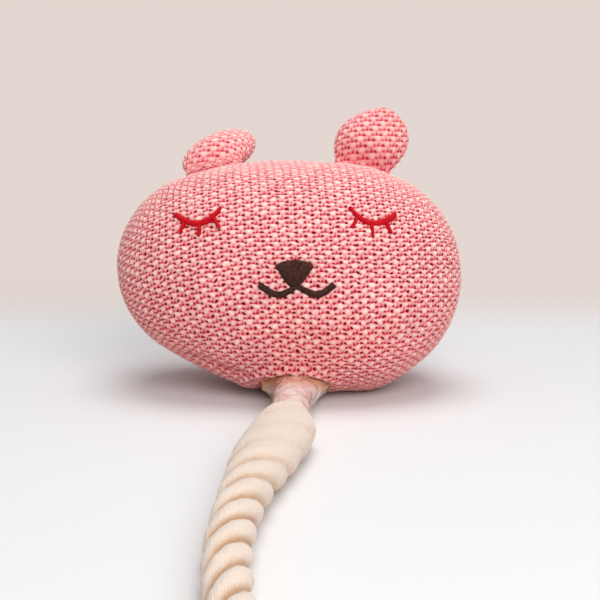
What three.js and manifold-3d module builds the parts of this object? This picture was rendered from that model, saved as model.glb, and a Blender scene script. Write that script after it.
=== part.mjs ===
// Knitted rattle dog toy: a stuffed animal head on a twisted rope tail, with a bead rattle inside.
// Millimetres, +Z up. The face looks along -Y, and +X is to the right of a person facing it.
// The origin lies on the flat under the head, where the toy sits.

import * as THREE from 'three';
import { mergeVertices } from 'three/addons/utils/BufferGeometryUtils.js';
import Module from 'manifold-3d';

// Clearances
const FIT_GAP = 0.3;
const FLOOR_GAP = 0.2;

// Head: a plump pillow whose outline in the front view is a squarish oval
const HEAD_WIDTH = 119.4;
const HEAD_HEIGHT = 80;
const HEAD_DEPTH = 74;
const OUTLINE_POWER = 2.4;
const DEPTH_POWER = 2.3;
const TILT_BACK = 10.5;
const COVER_WALL = 2;
const SIT_FLAT_DEPTH = 0.5;

// The stuffing leaves one lower corner of the outline drawn in and the other one full
const DRAWN_CORNER = { share: -0.125, angle: -139, spread: 28 };
const FULL_CORNER = { share: 0.06, angle: -50, spread: 13 };

// Ears: petals sewn on flat at the base, one upright and one flopped back
const EAR_LENGTH = 22.5;
const EAR_WIDTH = 25;
const EAR_BASE_WIDTH = 20;
const EAR_THICKNESS = 13;
const EAR_SEAM_THICKNESS = 3.8;
const EAR_WIDEST_AT = 9;
const EAR_WALL = 1.2;
const EAR_SEAM_SLOT = 1;
const EAR_FROM_SIDE = 33.7;
const EAR_SET_BACK = 6;
const EAR_TIP_NARROWING = 0.75;
const EAR_TIP_THINNING = 0.6;
const EAR_SWEEP_POWER = 1.3;
const EARS = [
  { side: 'left', sign: -1, fold: 64, sweep: 9.5 },
  { side: 'right', sign: 1, fold: 14, sweep: 4 },
];

// Embroidered face, in millimetres right of and above the middle of the head's front
const EYE_OFF_CENTRE = 29.5;
const EYE_HEIGHT = 21.4;
const LID_WIDTH = 16;
const LID_SAG = 4;
const LID_SLANT = 8;
const LID_THREAD = 1.6;
const LASH_LENGTH = 4.1;
const LASH_THREAD = 0.9;
const LASHES = [{ along: -0.62, fan: -14 }, { along: 0, fan: 0 }, { along: 0.62, fan: 14 }];
const NOSE_OFF_CENTRE = 2.3;
const NOSE_TOP = 4.7;
const NOSE_WIDTH = 11.8;
const NOSE_HEIGHT = 8;
const NOSE_PAD = 0.9;
const NOSE_BEVEL = 0.4;
const MOUTH_SPAN = 11.6;
const MOUTH_SAG = 3.2;
const MOUTH_LIFT = 0.6;
const MOUTH_THREAD = 1.6;

// Rope, film sleeve at the neck, and knots
const ROPE_DIAMETER = 13;
const BOUND_ROPE_DIAMETER = 8.8;
const SLEEVE_WALL = 0.5;
const SLEEVE_RIM_WIDTH = 23;
const SLEEVE_MOUTH_WIDTH = 12.8;
const SLEEVE_FLARE = 18;
const SLEEVE_INSET = 6;
const NECK_OFF_CENTRE = 1.3;
const NECK_REACH = 31.5;
const PIVOT_PAST_MOUTH = 5;
const KNOT_TURN_RADIUS = 6.3;
const KNOT_SWAY = 3.6;
const KNOT_STRAND_DIAMETER = 10.4;
const KNOT_LENGTH = 26;
const KNOT_BED = 2.6;
const TASSEL_LENGTH = 38;
const TASSEL_TUFT_DIAMETER = 9.2;
const TASSEL_SPREAD = 20;

// Rope route on the floor from the swing pivot: right, ahead (towards -Y), climb to the end knot (0 to 1)
const ROPE_ROUTE = [
  [0, 0, 0], [-2.6, -14, 0], [-4.9, -29, 0], [-7.0, -45, 0], [-8.9, -60, 0], [-10.8, -77, 0],
  [-12.4, -93, 0], [-13.7, -108, 0], [-14.5, -125, 0], [-14.6, -142, 0], [-13.9, -156, 0],
  [-12.8, -170, 0], [-11.4, -184, 0.03], [-10.0, -197, 0.25], [-8.6, -210, 0.7], [-7.3, -222, 0.96],
  [-6.2, -232, 1],
];

// Rattle: a snap-shut capsule with loose beads
const RATTLE_DIAMETER = 34;
const RATTLE_HEIGHT = 24;
const RATTLE_WALL = 1.6;
const RATTLE_EDGE_RADIUS = 5;
const RATTLE_LIP_HEIGHT = 3;
const RATTLE_LIP_WALL = 1.2;
const RATTLE_SET_BACK = 4;
const RATTLE_BED = 2.5;
const BEAD_DIAMETER = 6;
const BEAD_COUNT = 5;
const BEAD_WALL_GAP = 2;

// Facet counts
const HEAD_SEGMENTS = 44;
const HEAD_RINGS = 20;
const FILLING_SEGMENTS = 32;
const FILLING_RINGS = 14;
const EAR_SEGMENTS = 20;
const LATHE_SEGMENTS = 24;
const ROPE_SIDES = 10;
const ROPE_STEPS = 14;
const STUB_STEPS = 10;
const KNOT_SIDES = 7;
const KNOT_STEPS = 7;
const THREAD_SIDES = 7;
const LID_STEPS = 12;
const LASH_STEPS = 2;
const MOUTH_STEPS = 10;

const wasm = await Module();
wasm.setup();

const radians = THREE.MathUtils.degToRad;
const vector = (x, y, z) => new THREE.Vector3(x, y, z);

// Materials
const material = (color, roughness, metalness = 0) =>
  new THREE.MeshStandardMaterial({ color, roughness, metalness });
const knitYarn = () => material('#e58f93', 0.95);
const fibreFill = () => material('#f2efe8', 1);
const redThread = () => material('#b3202c', 0.6);
const brownThread = () => material('#3b2320', 0.6);
const cottonRope = () => material('#e6dcc6', 0.95);
const clearFilm = () => material('#d9c3b2', 0.15);
const whitePlastic = () => material('#e9e9e6', 0.35);
const steel = () => material('#b9bcc0', 0.25, 1);

// A closed geometry as a solid, with its faces turned outwards
function solidOf(geometry) {
  geometry.deleteAttribute('normal');
  geometry.deleteAttribute('uv');
  const merged = mergeVertices(geometry, 1e-4);
  const build = triVerts => new wasm.Manifold(new wasm.Mesh({
    numProp: 3,
    vertProperties: new Float32Array(merged.attributes.position.array),
    triVerts,
  }));
  const corners = new Uint32Array(merged.index.array);
  const solid = build(corners);
  return solid.volume() > 0 ? solid : build(corners.reverse());
}

function geometryOf(solid) {
  const mesh = solid.getMesh();
  const geometry = new THREE.BufferGeometry();
  geometry.setAttribute('position', new THREE.BufferAttribute(mesh.vertProperties, 3));
  geometry.setIndex(new THREE.BufferAttribute(mesh.triVerts, 1));
  geometry.computeVertexNormals();
  return geometry;
}

function addPiece(parent, name, solid, finish) {
  const mesh = new THREE.Mesh(geometryOf(solid), finish);
  mesh.name = name;
  parent.add(mesh);
}

const fuse = solids => solids.reduce((whole, solid) => whole.add(solid));

// A closed skin through rings of points, drawn to a point at each end
function loft(startPoint, rings, endPoint) {
  const count = rings[0].length;
  const points = [startPoint, ...rings.flat(), endPoint];
  const last = points.length - 1;
  const corner = (ring, step) => 1 + ring * count + step % count;
  const faces = [];
  for (let step = 0; step < count; step++) {
    faces.push(0, corner(0, step + 1), corner(0, step));
    for (let ring = 0; ring < rings.length - 1; ring++) {
      faces.push(corner(ring, step), corner(ring, step + 1), corner(ring + 1, step + 1));
      faces.push(corner(ring, step), corner(ring + 1, step + 1), corner(ring + 1, step));
    }
    faces.push(last, corner(rings.length - 1, step), corner(rings.length - 1, step + 1));
  }
  const geometry = new THREE.BufferGeometry().setFromPoints(points);
  geometry.setIndex(faces);
  return solidOf(geometry);
}

// A round bar swept along a curve
function sweep(curve, diameter, sides, steps) {
  const corners = [];
  for (let side = 0; side < sides; side++) {
    const turn = 2 * Math.PI * side / sides;
    corners.push(new THREE.Vector2(Math.cos(turn), Math.sin(turn)).multiplyScalar(diameter / 2));
  }
  const section = new THREE.Shape(corners);
  return solidOf(new THREE.ExtrudeGeometry(section, { steps, extrudePath: curve }));
}

const revolve = (profile, segments = LATHE_SEGMENTS) => solidOf(new THREE.LatheGeometry(profile, segments));

// Moves a solid so that its own frame lands on a group's pose
const place = (solid, matrix) => solid.transform(matrix.elements);

// Head form: every skin and filling follows the same outline, drawn in by an inset
const headForm = inset => ({
  halfWidth: HEAD_WIDTH / 2 - inset,
  halfHeight: HEAD_HEIGHT / 2 - inset,
  halfDepth: HEAD_DEPTH / 2 - inset,
});

function cornerShape(angle, corner) {
  const turn = angle - radians(corner.angle) + Math.PI;
  const away = THREE.MathUtils.euclideanModulo(turn, 2 * Math.PI) - Math.PI;
  return corner.share * Math.exp(-((away / radians(corner.spread)) ** 2));
}

function outlineRadius(form, angle) {
  const across = Math.abs(Math.cos(angle)) / form.halfWidth;
  const up = Math.abs(Math.sin(angle)) / form.halfHeight;
  const oval = (across ** OUTLINE_POWER + up ** OUTLINE_POWER) ** (-1 / OUTLINE_POWER);
  return oval * (1 + cornerShape(angle, DRAWN_CORNER) + cornerShape(angle, FULL_CORNER));
}

// A point of the head at an angle in the front view, and a polar angle from the nose to the back
function headPoint(form, angle, polar) {
  const reach = outlineRadius(form, angle) * Math.sin(polar) ** (2 / DEPTH_POWER);
  const facing = Math.cos(polar);
  const depth = -Math.sign(facing) * Math.abs(facing) ** (2 / DEPTH_POWER) * form.halfDepth;
  return vector(reach * Math.cos(angle), depth, reach * Math.sin(angle));
}

// Under 1 inside the head, over 1 outside it
function headLevel(form, point) {
  const reach = Math.hypot(point.x, point.z) / outlineRadius(form, Math.atan2(point.z, point.x));
  return reach ** DEPTH_POWER + (Math.abs(point.y) / form.halfDepth) ** DEPTH_POWER;
}

function headNormal(form, point) {
  const step = 0.01;
  const slope = axis => headLevel(form, point.clone().addScaledVector(axis, step))
    - headLevel(form, point.clone().addScaledVector(axis, -step));
  return vector(slope(vector(1, 0, 0)), slope(vector(0, 1, 0)), slope(vector(0, 0, 1))).normalize();
}

// The point between an outer and an inner point where the head's skin lies
function skinBetween(form, outer, inner) {
  const outside = outer.clone();
  const inside = inner.clone();
  for (let halving = 0; halving < 40; halving++) {
    const middle = outside.clone().lerp(inside, 0.5);
    (headLevel(form, middle) > 1 ? outside : inside).copy(middle);
  }
  return outside;
}

function headSolid(inset, segments, rings) {
  const form = headForm(inset);
  const ringAt = polar => Array.from({ length: segments }, (_, step) =>
    headPoint(form, 2 * Math.PI * step / segments, polar));
  const loops = Array.from({ length: rings - 1 }, (_, ring) => ringAt(Math.PI * (ring + 1) / rings));
  return loft(headPoint(form, 0, 0), loops, headPoint(form, 0, Math.PI));
}

// Head group: tilted back, and set down so that its lowest skin is cut flat
const skin = headForm(0);
const head = new THREE.Group();
head.rotation.x = -radians(TILT_BACK);
head.updateMatrix();
const coverOuter = headSolid(0, HEAD_SEGMENTS, HEAD_RINGS);
head.position.z = -place(coverOuter, head.matrix).boundingBox().min[2] - SIT_FLAT_DEPTH;
head.updateMatrix();
const toHead = head.matrix.clone().invert();
const inHead = solid => place(solid, toHead);

function slab(fromHeight, toHeight) {
  const wide = 2 * (HEAD_WIDTH + HEAD_DEPTH);
  const box = new THREE.BoxGeometry(wide, wide, toHeight - fromHeight);
  box.translate(0, 0, (fromHeight + toHeight) / 2);
  return inHead(solidOf(box));
}

// Neck: the flat film sleeve binds the rope, leaves the head low down and reaches forward along the floor
const ropeRadius = ROPE_DIAMETER / 2;
const sleeveHalfHeight = BOUND_ROPE_DIAMETER / 2 + 2 * FIT_GAP + SLEEVE_WALL;
const rimLevel = sleeveHalfHeight + FLOOR_GAP;
const rimCentre = skinBetween(
  skin,
  vector(NECK_OFF_CENTRE, -HEAD_DEPTH, rimLevel).applyMatrix4(toHead),
  vector(NECK_OFF_CENTRE, 0, rimLevel).applyMatrix4(toHead),
).applyMatrix4(head.matrix);
const mouth = vector(NECK_OFF_CENTRE, rimCentre.y - NECK_REACH, ropeRadius + FLOOR_GAP);
const neckAxis = mouth.clone().sub(rimCentre).normalize();
const neckLength = mouth.distanceTo(rimCentre);
const alongNeck = distance => rimCentre.clone().addScaledVector(neckAxis, distance);

const neck = new THREE.Group();
neck.position.copy(rimCentre);
neck.quaternion.setFromUnitVectors(vector(0, 1, 0), neckAxis);
neck.updateMatrix();

// The sleeve's oval outline at a distance from the skin: full width in the head, then a flare
function sleeveRing(distance, grow) {
  const share = THREE.MathUtils.clamp(1 - distance / SLEEVE_FLARE, 0, 1);
  const halfWidth = THREE.MathUtils.lerp(SLEEVE_MOUTH_WIDTH, SLEEVE_RIM_WIDTH, share ** 2) / 2;
  return Array.from({ length: LATHE_SEGMENTS }, (_, step) => {
    const turn = 2 * Math.PI * step / LATHE_SEGMENTS;
    return vector((halfWidth + grow) * Math.cos(turn), distance, (sleeveHalfHeight + grow) * Math.sin(turn));
  });
}

function sleeveBody(from, to, grow) {
  const flareSteps = 5;
  const flare = Array.from({ length: flareSteps + 1 }, (_, step) => SLEEVE_FLARE * step / flareSteps);
  const rings = [from, ...flare, to].map(distance => sleeveRing(distance, grow));
  return loft(vector(0, from, 0), rings, vector(0, to, 0));
}

function sleeveSolid() {
  const hollow = sleeveBody(-SLEEVE_INSET - SLEEVE_WALL, neckLength + SLEEVE_WALL, -SLEEVE_WALL);
  return sleeveBody(-SLEEVE_INSET, neckLength, 0).subtract(hollow);
}

// Room that the sleeve takes in the pieces round it
const sleeveRoom = () => inHead(place(sleeveBody(-SLEEVE_INSET - FIT_GAP, neckLength, FIT_GAP), neck.matrix));

// A tightened overhand knot: the rope winds twice round its own axis and sways three times
class KnotTurn extends THREE.Curve {
  constructor(from, to) {
    super();
    this.from = from;
    this.to = to;
  }

  getPoint(share) {
    const turn = this.from + (this.to - this.from) * share;
    const reach = KNOT_TURN_RADIUS + KNOT_SWAY * Math.cos(3 * turn);
    return vector(reach * Math.cos(2 * turn), KNOT_SWAY * Math.sin(3 * turn), reach * Math.sin(2 * turn));
  }
}

const knotRadius = KNOT_TURN_RADIUS + KNOT_SWAY + KNOT_STRAND_DIAMETER / 2;

function knotSolid() {
  const third = 2 * Math.PI / 3;
  const overlap = 0.15;
  const strands = [0, 1, 2].map(part => {
    const turn = new KnotTurn(part * third - overlap, (part + 1) * third + overlap);
    return sweep(turn, KNOT_STRAND_DIAMETER, KNOT_SIDES, KNOT_STEPS);
  });
  const core = solidOf(new THREE.SphereGeometry(KNOT_TURN_RADIUS + KNOT_SWAY, 12, 8));
  const through = solidOf(new THREE.CylinderGeometry(ropeRadius, ropeRadius, KNOT_LENGTH, ROPE_SIDES));
  return fuse([...strands, core, through]);
}

// The pose of a piece whose own +Y runs along a direction
function poseAlong(position, direction) {
  const turn = new THREE.Quaternion().setFromUnitVectors(vector(0, 1, 0), direction.clone().normalize());
  return new THREE.Matrix4().compose(position, turn, vector(1, 1, 1));
}

// Rope inside the head: through the sleeve and up to a stopper knot
const pivot = alongNeck(neckLength + PIVOT_PAST_MOUTH);
const stubStart = alongNeck(neckLength + PIVOT_PAST_MOUTH - ropeRadius - FIT_GAP);
const stopper = vector(NECK_OFF_CENTRE, 0, COVER_WALL + 2 * FIT_GAP + KNOT_BED + knotRadius);
const stubEntry = alongNeck(-SLEEVE_INSET - BOUND_ROPE_DIAMETER / 2);
const stubMiddle = alongNeck(neckLength / 2);
const stubRim = alongNeck(-SLEEVE_INSET);
const stubPath = new THREE.CatmullRomCurve3([stubStart, stubMiddle, rimCentre, stubRim, stubEntry, stopper]);
const stopperPose = poseAlong(stopper, stopper.clone().sub(stubEntry));

const stubRun = sweep(stubPath, BOUND_ROPE_DIAMETER, ROPE_SIDES, STUB_STEPS);
const ropeStub = fuse([stubRun, place(knotSolid(), stopperPose)]);

// Room that the stub and its knot take in the pieces round them
const stubRoom = () => inHead(sweep(stubPath, BOUND_ROPE_DIAMETER + 2 * FIT_GAP, ROPE_SIDES, STUB_STEPS));

function stopperRoom() {
  const ball = solidOf(new THREE.SphereGeometry(knotRadius + 2 * FIT_GAP, 18, 12));
  return inHead(place(ball, stopperPose));
}

// Rattle capsule, standing on the filling above the stopper knot
const rattleRadius = RATTLE_DIAMETER / 2;
const rattleInnerRadius = rattleRadius - RATTLE_WALL;
const rattleSplit = RATTLE_HEIGHT / 2;
const rattle = new THREE.Group();
rattle.position.set(0, RATTLE_SET_BACK, stopper.z + knotRadius + 3 * FIT_GAP + RATTLE_BED);
rattle.updateMatrix();

// The round-edged half of a pill box, as points from the axis to the wall's end
function boxHalf(radius, height, edge) {
  const path = new THREE.Path();
  path.moveTo(0, 0);
  path.lineTo(radius - edge, 0);
  path.absarc(radius - edge, edge, edge, -Math.PI / 2, 0);
  path.lineTo(radius, height);
  return path.getPoints(2);
}

const liftPoints = (points, lift) => points.map(point => new THREE.Vector2(point.x, point.y + lift));

function rattleShell(height) {
  const outside = boxHalf(rattleRadius, height, RATTLE_EDGE_RADIUS);
  const innerEdge = Math.max(RATTLE_EDGE_RADIUS - RATTLE_WALL, 0.5);
  const inside = liftPoints(boxHalf(rattleInnerRadius, height - RATTLE_WALL, innerEdge), RATTLE_WALL);
  return revolve([...outside, ...inside.reverse()]);
}

function rattleLid() {
  const shell = rattleShell(RATTLE_HEIGHT - rattleSplit - FIT_GAP);
  const outer = rattleInnerRadius - FIT_GAP;
  const inner = outer - RATTLE_LIP_WALL;
  const top = rattleSplit - FIT_GAP;
  const bottom = RATTLE_HEIGHT - rattleSplit + RATTLE_LIP_HEIGHT;
  const join = 1.5;
  const lip = revolve([
    new THREE.Vector2(outer, bottom),
    new THREE.Vector2(outer, top - join / 3),
    new THREE.Vector2(rattleInnerRadius + RATTLE_WALL / 2, top - join / 3),
    new THREE.Vector2(rattleInnerRadius + RATTLE_WALL / 2, top - join),
    new THREE.Vector2(inner, top - join),
    new THREE.Vector2(inner, bottom),
    new THREE.Vector2(outer, bottom),
  ]);
  return fuse([shell, lip]);
}

// Room that the closed capsule takes in the filling
function rattleRoom() {
  const radius = rattleRadius + FIT_GAP;
  const half = boxHalf(radius, rattleSplit + FIT_GAP, RATTLE_EDGE_RADIUS + FIT_GAP);
  const height = RATTLE_HEIGHT + 2 * FIT_GAP;
  const top = half.map(point => new THREE.Vector2(point.x, height - point.y)).reverse();
  const room = revolve(liftPoints([...half, ...top.slice(1)], -FIT_GAP));
  const upright = new THREE.Matrix4().makeRotationX(Math.PI / 2);
  return inHead(place(place(room, upright), rattle.matrix));
}

// Knit cover: a skin with a flat to sit on and the neck opening
const neckRoom = fuse([sleeveRoom(), stubRoom()]);
const coverInner = headSolid(COVER_WALL, FILLING_SEGMENTS, FILLING_RINGS);
const belowFloor = slab(-HEAD_HEIGHT, 0);
const cover = coverOuter.subtract(coverInner).subtract(neckRoom).subtract(belowFloor);
addPiece(head, 'head_cover', cover, knitYarn());

// Fibre filling: a lower and an upper wad round the rattle and the rope's stopper knot
const filling = headSolid(COVER_WALL + FIT_GAP, FILLING_SEGMENTS, FILLING_RINGS)
  .subtract(fuse([neckRoom, stopperRoom(), rattleRoom()]));
const partingLevel = rattle.position.z + rattleSplit;
const lowerWad = filling.intersect(slab(-HEAD_HEIGHT, partingLevel - FIT_GAP / 2));
const upperWad = filling.intersect(slab(partingLevel + FIT_GAP / 2, 3 * HEAD_HEIGHT));
addPiece(head, 'head_filling_lower', lowerWad, fibreFill());
addPiece(head, 'head_filling_upper', upperWad, fibreFill());

// Ears
const earSeamRadius = EAR_SEAM_THICKNESS / 2;

// Half width, half thickness and sideways sweep of an ear at a height over its hinge line
function earSection(height, inset, tipSweep) {
  const low = Math.min(height / EAR_WIDEST_AT, 1);
  const high = Math.max((height - EAR_WIDEST_AT) / (EAR_LENGTH - EAR_WIDEST_AT), 0);
  const swell = Math.sin(low * Math.PI / 2);
  const halfWidth = THREE.MathUtils.lerp(EAR_BASE_WIDTH, EAR_WIDTH, swell) / 2;
  const halfThickness = THREE.MathUtils.lerp(EAR_SEAM_THICKNESS, EAR_THICKNESS, swell) / 2;
  return {
    halfWidth: halfWidth * (1 - high ** 2) ** EAR_TIP_NARROWING - inset,
    halfThickness: halfThickness * (1 - high ** 2) ** EAR_TIP_THINNING - inset,
    middle: tipSweep * (height / EAR_LENGTH) ** EAR_SWEEP_POWER,
  };
}

function earRing(height, section) {
  return Array.from({ length: EAR_SEGMENTS }, (_, step) => {
    const turn = 2 * Math.PI * step / EAR_SEGMENTS;
    return vector(
      section.middle + section.halfWidth * Math.cos(turn),
      section.halfThickness * Math.sin(turn),
      height,
    );
  });
}

// The rounded seam edge below the hinge line, then the petal up to its tip
function earOutside(tipSweep) {
  const seam = earSection(0, 0, tipSweep);
  const edge = [70, 35].map(angle => {
    const turn = radians(angle);
    const drawn = earSeamRadius * (1 - Math.cos(turn));
    const halfWidth = seam.halfWidth - drawn;
    return earRing(-earSeamRadius * Math.sin(turn), {
      ...seam, halfWidth, halfThickness: earSeamRadius * Math.cos(turn),
    });
  });
  const petal = [0, 0.1, 0.22, 0.36, 0.5, 0.64, 0.77, 0.88, 0.96].map(level => {
    const height = level * EAR_LENGTH;
    return earRing(height, earSection(height, 0, tipSweep));
  });
  return loft(vector(0, 0, -earSeamRadius), [...edge, ...petal], vector(tipSweep, 0, EAR_LENGTH));
}

// The hollow of an ear, inset from its outside, with or without the sewn slot at its base
function earInside(tipSweep, inset, floorHeight) {
  const span = EAR_LENGTH - inset - floorHeight;
  const rings = [0, 0.14, 0.3, 0.5, 0.7, 0.86].map(level => {
    const height = floorHeight + level * span;
    return earRing(height, earSection(height, inset, tipSweep));
  });
  const middleAt = height => earSection(height, inset, tipSweep).middle;
  const start = vector(middleAt(floorHeight), 0, floorHeight);
  const top = floorHeight + 0.95 * span;
  return loft(start, rings, vector(middleAt(top), 0, top));
}

function earSlot() {
  const width = EAR_BASE_WIDTH - 2 * EAR_SEAM_THICKNESS;
  return solidOf(new THREE.BoxGeometry(width, EAR_SEAM_SLOT, 4 * EAR_SEAM_THICKNESS));
}

for (const { side, sign, fold, sweep: tipSweep } of EARS) {
  const offCentre = sign * (HEAD_WIDTH / 2 - EAR_FROM_SIDE);
  const top = vector(offCentre, EAR_SET_BACK, HEAD_HEIGHT);
  const foot = skinBetween(skin, top, vector(offCentre, EAR_SET_BACK, 0));
  const normal = headNormal(skin, foot);
  const hingeLine = vector(1, 0, 0).addScaledVector(normal, -normal.x).normalize();
  const standing = vector(0, 0, 1).addScaledVector(hingeLine, -hingeLine.z).normalize();
  const backward = standing.clone().cross(hingeLine);

  const ear = new THREE.Group();
  ear.name = `ear_${side}`;
  ear.position.copy(foot).addScaledVector(normal, earSeamRadius + FIT_GAP);
  ear.quaternion.setFromRotationMatrix(new THREE.Matrix4().makeBasis(hingeLine, backward, standing));
  ear.rotateX(-radians(fold));
  head.add(ear);

  const hollow = earInside(tipSweep, EAR_WALL, EAR_SEAM_THICKNESS);
  addPiece(ear, `ear_${side}_cover`, earOutside(tipSweep).subtract(fuse([hollow, earSlot()])), knitYarn());
  const stuffing = earInside(tipSweep, EAR_WALL + FIT_GAP, EAR_SEAM_THICKNESS + FIT_GAP);
  addPiece(ear, `ear_${side}_filling`, stuffing, fibreFill());
}

// Embroidery, laid on the front of the cover
function onFace(x, z, lift) {
  const point = skinBetween(skin, vector(x, -HEAD_DEPTH, z), vector(x, 0, z));
  return point.addScaledVector(headNormal(skin, point), FIT_GAP + lift);
}

function stitchLine(points, thread, steps) {
  const lifted = points.map(([x, z]) => onFace(x, z, thread / 2));
  return sweep(new THREE.CatmullRomCurve3(lifted), thread, THREAD_SIDES, steps);
}

// A closed lid is one sagging line, with lashes fanning out below it
function eyeSolid(sign) {
  const slant = radians(LID_SLANT);
  const turned = (across, up) => [
    sign * (EYE_OFF_CENTRE + across * Math.cos(slant) + up * Math.sin(slant)),
    EYE_HEIGHT - across * Math.sin(slant) + up * Math.cos(slant),
  ];
  const lidPoint = along => turned(along * LID_WIDTH / 2, -LID_SAG * (1 - along ** 2));
  const lid = stitchLine([-1, -0.65, -0.3, 0, 0.3, 0.65, 1].map(lidPoint), LID_THREAD, LID_STEPS);
  const lashes = LASHES.map(({ along, fan }) => {
    const root = lidPoint(along);
    const lean = radians(fan);
    const tip = [root[0] + sign * LASH_LENGTH * Math.sin(lean), root[1] - LASH_LENGTH * Math.cos(lean)];
    return stitchLine([root, tip], LASH_THREAD, LASH_STEPS);
  });
  return fuse([lid, ...lashes]);
}

// A rounded triangle, point down
function noseSolid() {
  const half = NOSE_WIDTH / 2;
  const shape = new THREE.Shape();
  shape.moveTo(0, 0);
  shape.bezierCurveTo(half * 0.7, 0, half, -NOSE_HEIGHT * 0.04, half, -NOSE_HEIGHT * 0.26);
  shape.bezierCurveTo(half, -NOSE_HEIGHT * 0.5, half * 0.35, -NOSE_HEIGHT, 0, -NOSE_HEIGHT);
  shape.bezierCurveTo(-half * 0.35, -NOSE_HEIGHT, -half, -NOSE_HEIGHT * 0.5, -half, -NOSE_HEIGHT * 0.26);
  shape.bezierCurveTo(-half, -NOSE_HEIGHT * 0.04, -half * 0.7, 0, 0, 0);
  const pad = new THREE.ExtrudeGeometry(shape, {
    depth: NOSE_PAD - NOSE_BEVEL,
    bevelThickness: NOSE_BEVEL,
    bevelSize: NOSE_BEVEL,
    bevelOffset: -NOSE_BEVEL,
    bevelSegments: 2,
    curveSegments: 6,
  });
  const position = pad.attributes.position;
  for (let index = 0; index < position.count; index++) {
    const x = NOSE_OFF_CENTRE + position.getX(index);
    const lift = position.getZ(index) + NOSE_BEVEL;
    const point = onFace(x, NOSE_TOP + position.getY(index), lift);
    position.setXYZ(index, point.x, point.y, point.z);
  }
  return solidOf(pad);
}

// Two sagging lines that meet under the nose
function mouthSolid() {
  const start = NOSE_TOP - NOSE_HEIGHT - FIT_GAP - MOUTH_THREAD / 2;
  const half = sign => stitchLine([0, 0.15, 0.35, 0.55, 0.75, 0.9, 1].map(along => [
    NOSE_OFF_CENTRE + sign * MOUTH_SPAN * along,
    start - MOUTH_SAG * Math.sin(Math.PI * along) + MOUTH_LIFT * along,
  ]), MOUTH_THREAD, MOUTH_STEPS);
  return fuse([half(-1), half(1)]);
}

addPiece(head, 'eye_left', eyeSolid(-1), redThread());
addPiece(head, 'eye_right', eyeSolid(1), redThread());
addPiece(head, 'nose', noseSolid(), brownThread());
addPiece(head, 'mouth', mouthSolid(), brownThread());

// Neck sleeve and the rope inside the head
addPiece(neck, 'neck_sleeve', sleeveSolid(), clearFilm());
const toy = new THREE.Group();
addPiece(toy, 'rope_head_end', ropeStub, cottonRope());

// Rope tail: starts as a ball on the swing pivot, lies on the floor and climbs into its end knot
const lyingLevel = ropeRadius + FLOOR_GAP;
const knotLevel = knotRadius + FLOOR_GAP;
const routePoint = ([right, ahead, climb], index) => vector(
  pivot.x + right,
  pivot.y + ahead,
  index === 0 ? pivot.z : THREE.MathUtils.lerp(lyingLevel, knotLevel, climb),
);
const ropePath = new THREE.CatmullRomCurve3(ROPE_ROUTE.map(routePoint));
const ropeBall = place(
  solidOf(new THREE.SphereGeometry(ropeRadius, 16, 12)),
  new THREE.Matrix4().makeTranslation(pivot),
);
const ropeRun = sweep(ropePath, ROPE_DIAMETER, ROPE_SIDES, ROPE_STEPS);
addPiece(toy, 'rope_tail', fuse([ropeRun, ropeBall]), cottonRope());

// End knot and frayed tassel, in line with the rope's end
const ropeEnd = ropePath.getPoint(1);
const endDirection = ropePath.getTangent(1).setZ(0).normalize();
const pastEnd = distance => ropeEnd.clone().addScaledVector(endDirection, distance);
const endKnotPose = poseAlong(pastEnd(FIT_GAP + KNOT_LENGTH / 2), endDirection);
addPiece(toy, 'rope_end_knot', place(knotSolid(), endKnotPose), cottonRope());

function tuftSolid() {
  const radius = TASSEL_TUFT_DIAMETER / 2;
  const outline = new THREE.SplineCurve([
    new THREE.Vector2(0, 0),
    new THREE.Vector2(radius * 0.6, TASSEL_LENGTH * 0.03),
    new THREE.Vector2(radius * 0.75, TASSEL_LENGTH * 0.3),
    new THREE.Vector2(radius, TASSEL_LENGTH * 0.75),
    new THREE.Vector2(radius * 0.7, TASSEL_LENGTH * 0.97),
    new THREE.Vector2(0, TASSEL_LENGTH),
  ]);
  return revolve(outline.getPoints(10), 12);
}

function tasselSolid() {
  const root = pastEnd(KNOT_LENGTH + 2 * FIT_GAP);
  const rootHeight = 4;
  const stub = new THREE.CylinderGeometry(ropeRadius, ropeRadius, rootHeight, ROPE_SIDES);
  const middle = root.clone().addScaledVector(endDirection, rootHeight / 2);
  const base = place(solidOf(stub), poseAlong(middle, endDirection));
  const drop = Math.asin((knotLevel - TASSEL_TUFT_DIAMETER / 2 - FLOOR_GAP) / TASSEL_LENGTH);
  const tufts = [-1, 0, 1].map(way => {
    const along = endDirection.clone().applyAxisAngle(vector(0, 0, 1), radians(way * TASSEL_SPREAD));
    along.multiplyScalar(Math.cos(drop)).setZ(-Math.sin(drop));
    return place(tuftSolid(), poseAlong(middle, along));
  });
  return fuse([base, ...tufts]);
}

addPiece(toy, 'rope_tassel', tasselSolid(), cottonRope());

// Rattle pieces
const cupGroup = new THREE.Group();
cupGroup.rotation.x = Math.PI / 2;
rattle.add(cupGroup);
addPiece(cupGroup, 'rattle_cup', rattleShell(rattleSplit), whitePlastic());
const lidGroup = new THREE.Group();
lidGroup.position.z = RATTLE_HEIGHT;
lidGroup.rotation.x = -Math.PI / 2;
rattle.add(lidGroup);
addPiece(lidGroup, 'rattle_lid', rattleLid(), whitePlastic());

const beadRadius = BEAD_DIAMETER / 2;
const beadRing = rattleInnerRadius - beadRadius - BEAD_WALL_GAP;
for (let bead = 0; bead < BEAD_COUNT; bead++) {
  const turn = 2 * Math.PI * bead / BEAD_COUNT;
  const ball = new THREE.Group();
  ball.position.set(
    beadRing * Math.cos(turn),
    beadRing * Math.sin(turn),
    RATTLE_WALL + FIT_GAP + beadRadius,
  );
  rattle.add(ball);
  addPiece(ball, `rattle_bead_${bead + 1}`, solidOf(new THREE.SphereGeometry(beadRadius, 12, 8)), steel());
}

toy.add(head, neck, rattle);

export default toy;
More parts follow.
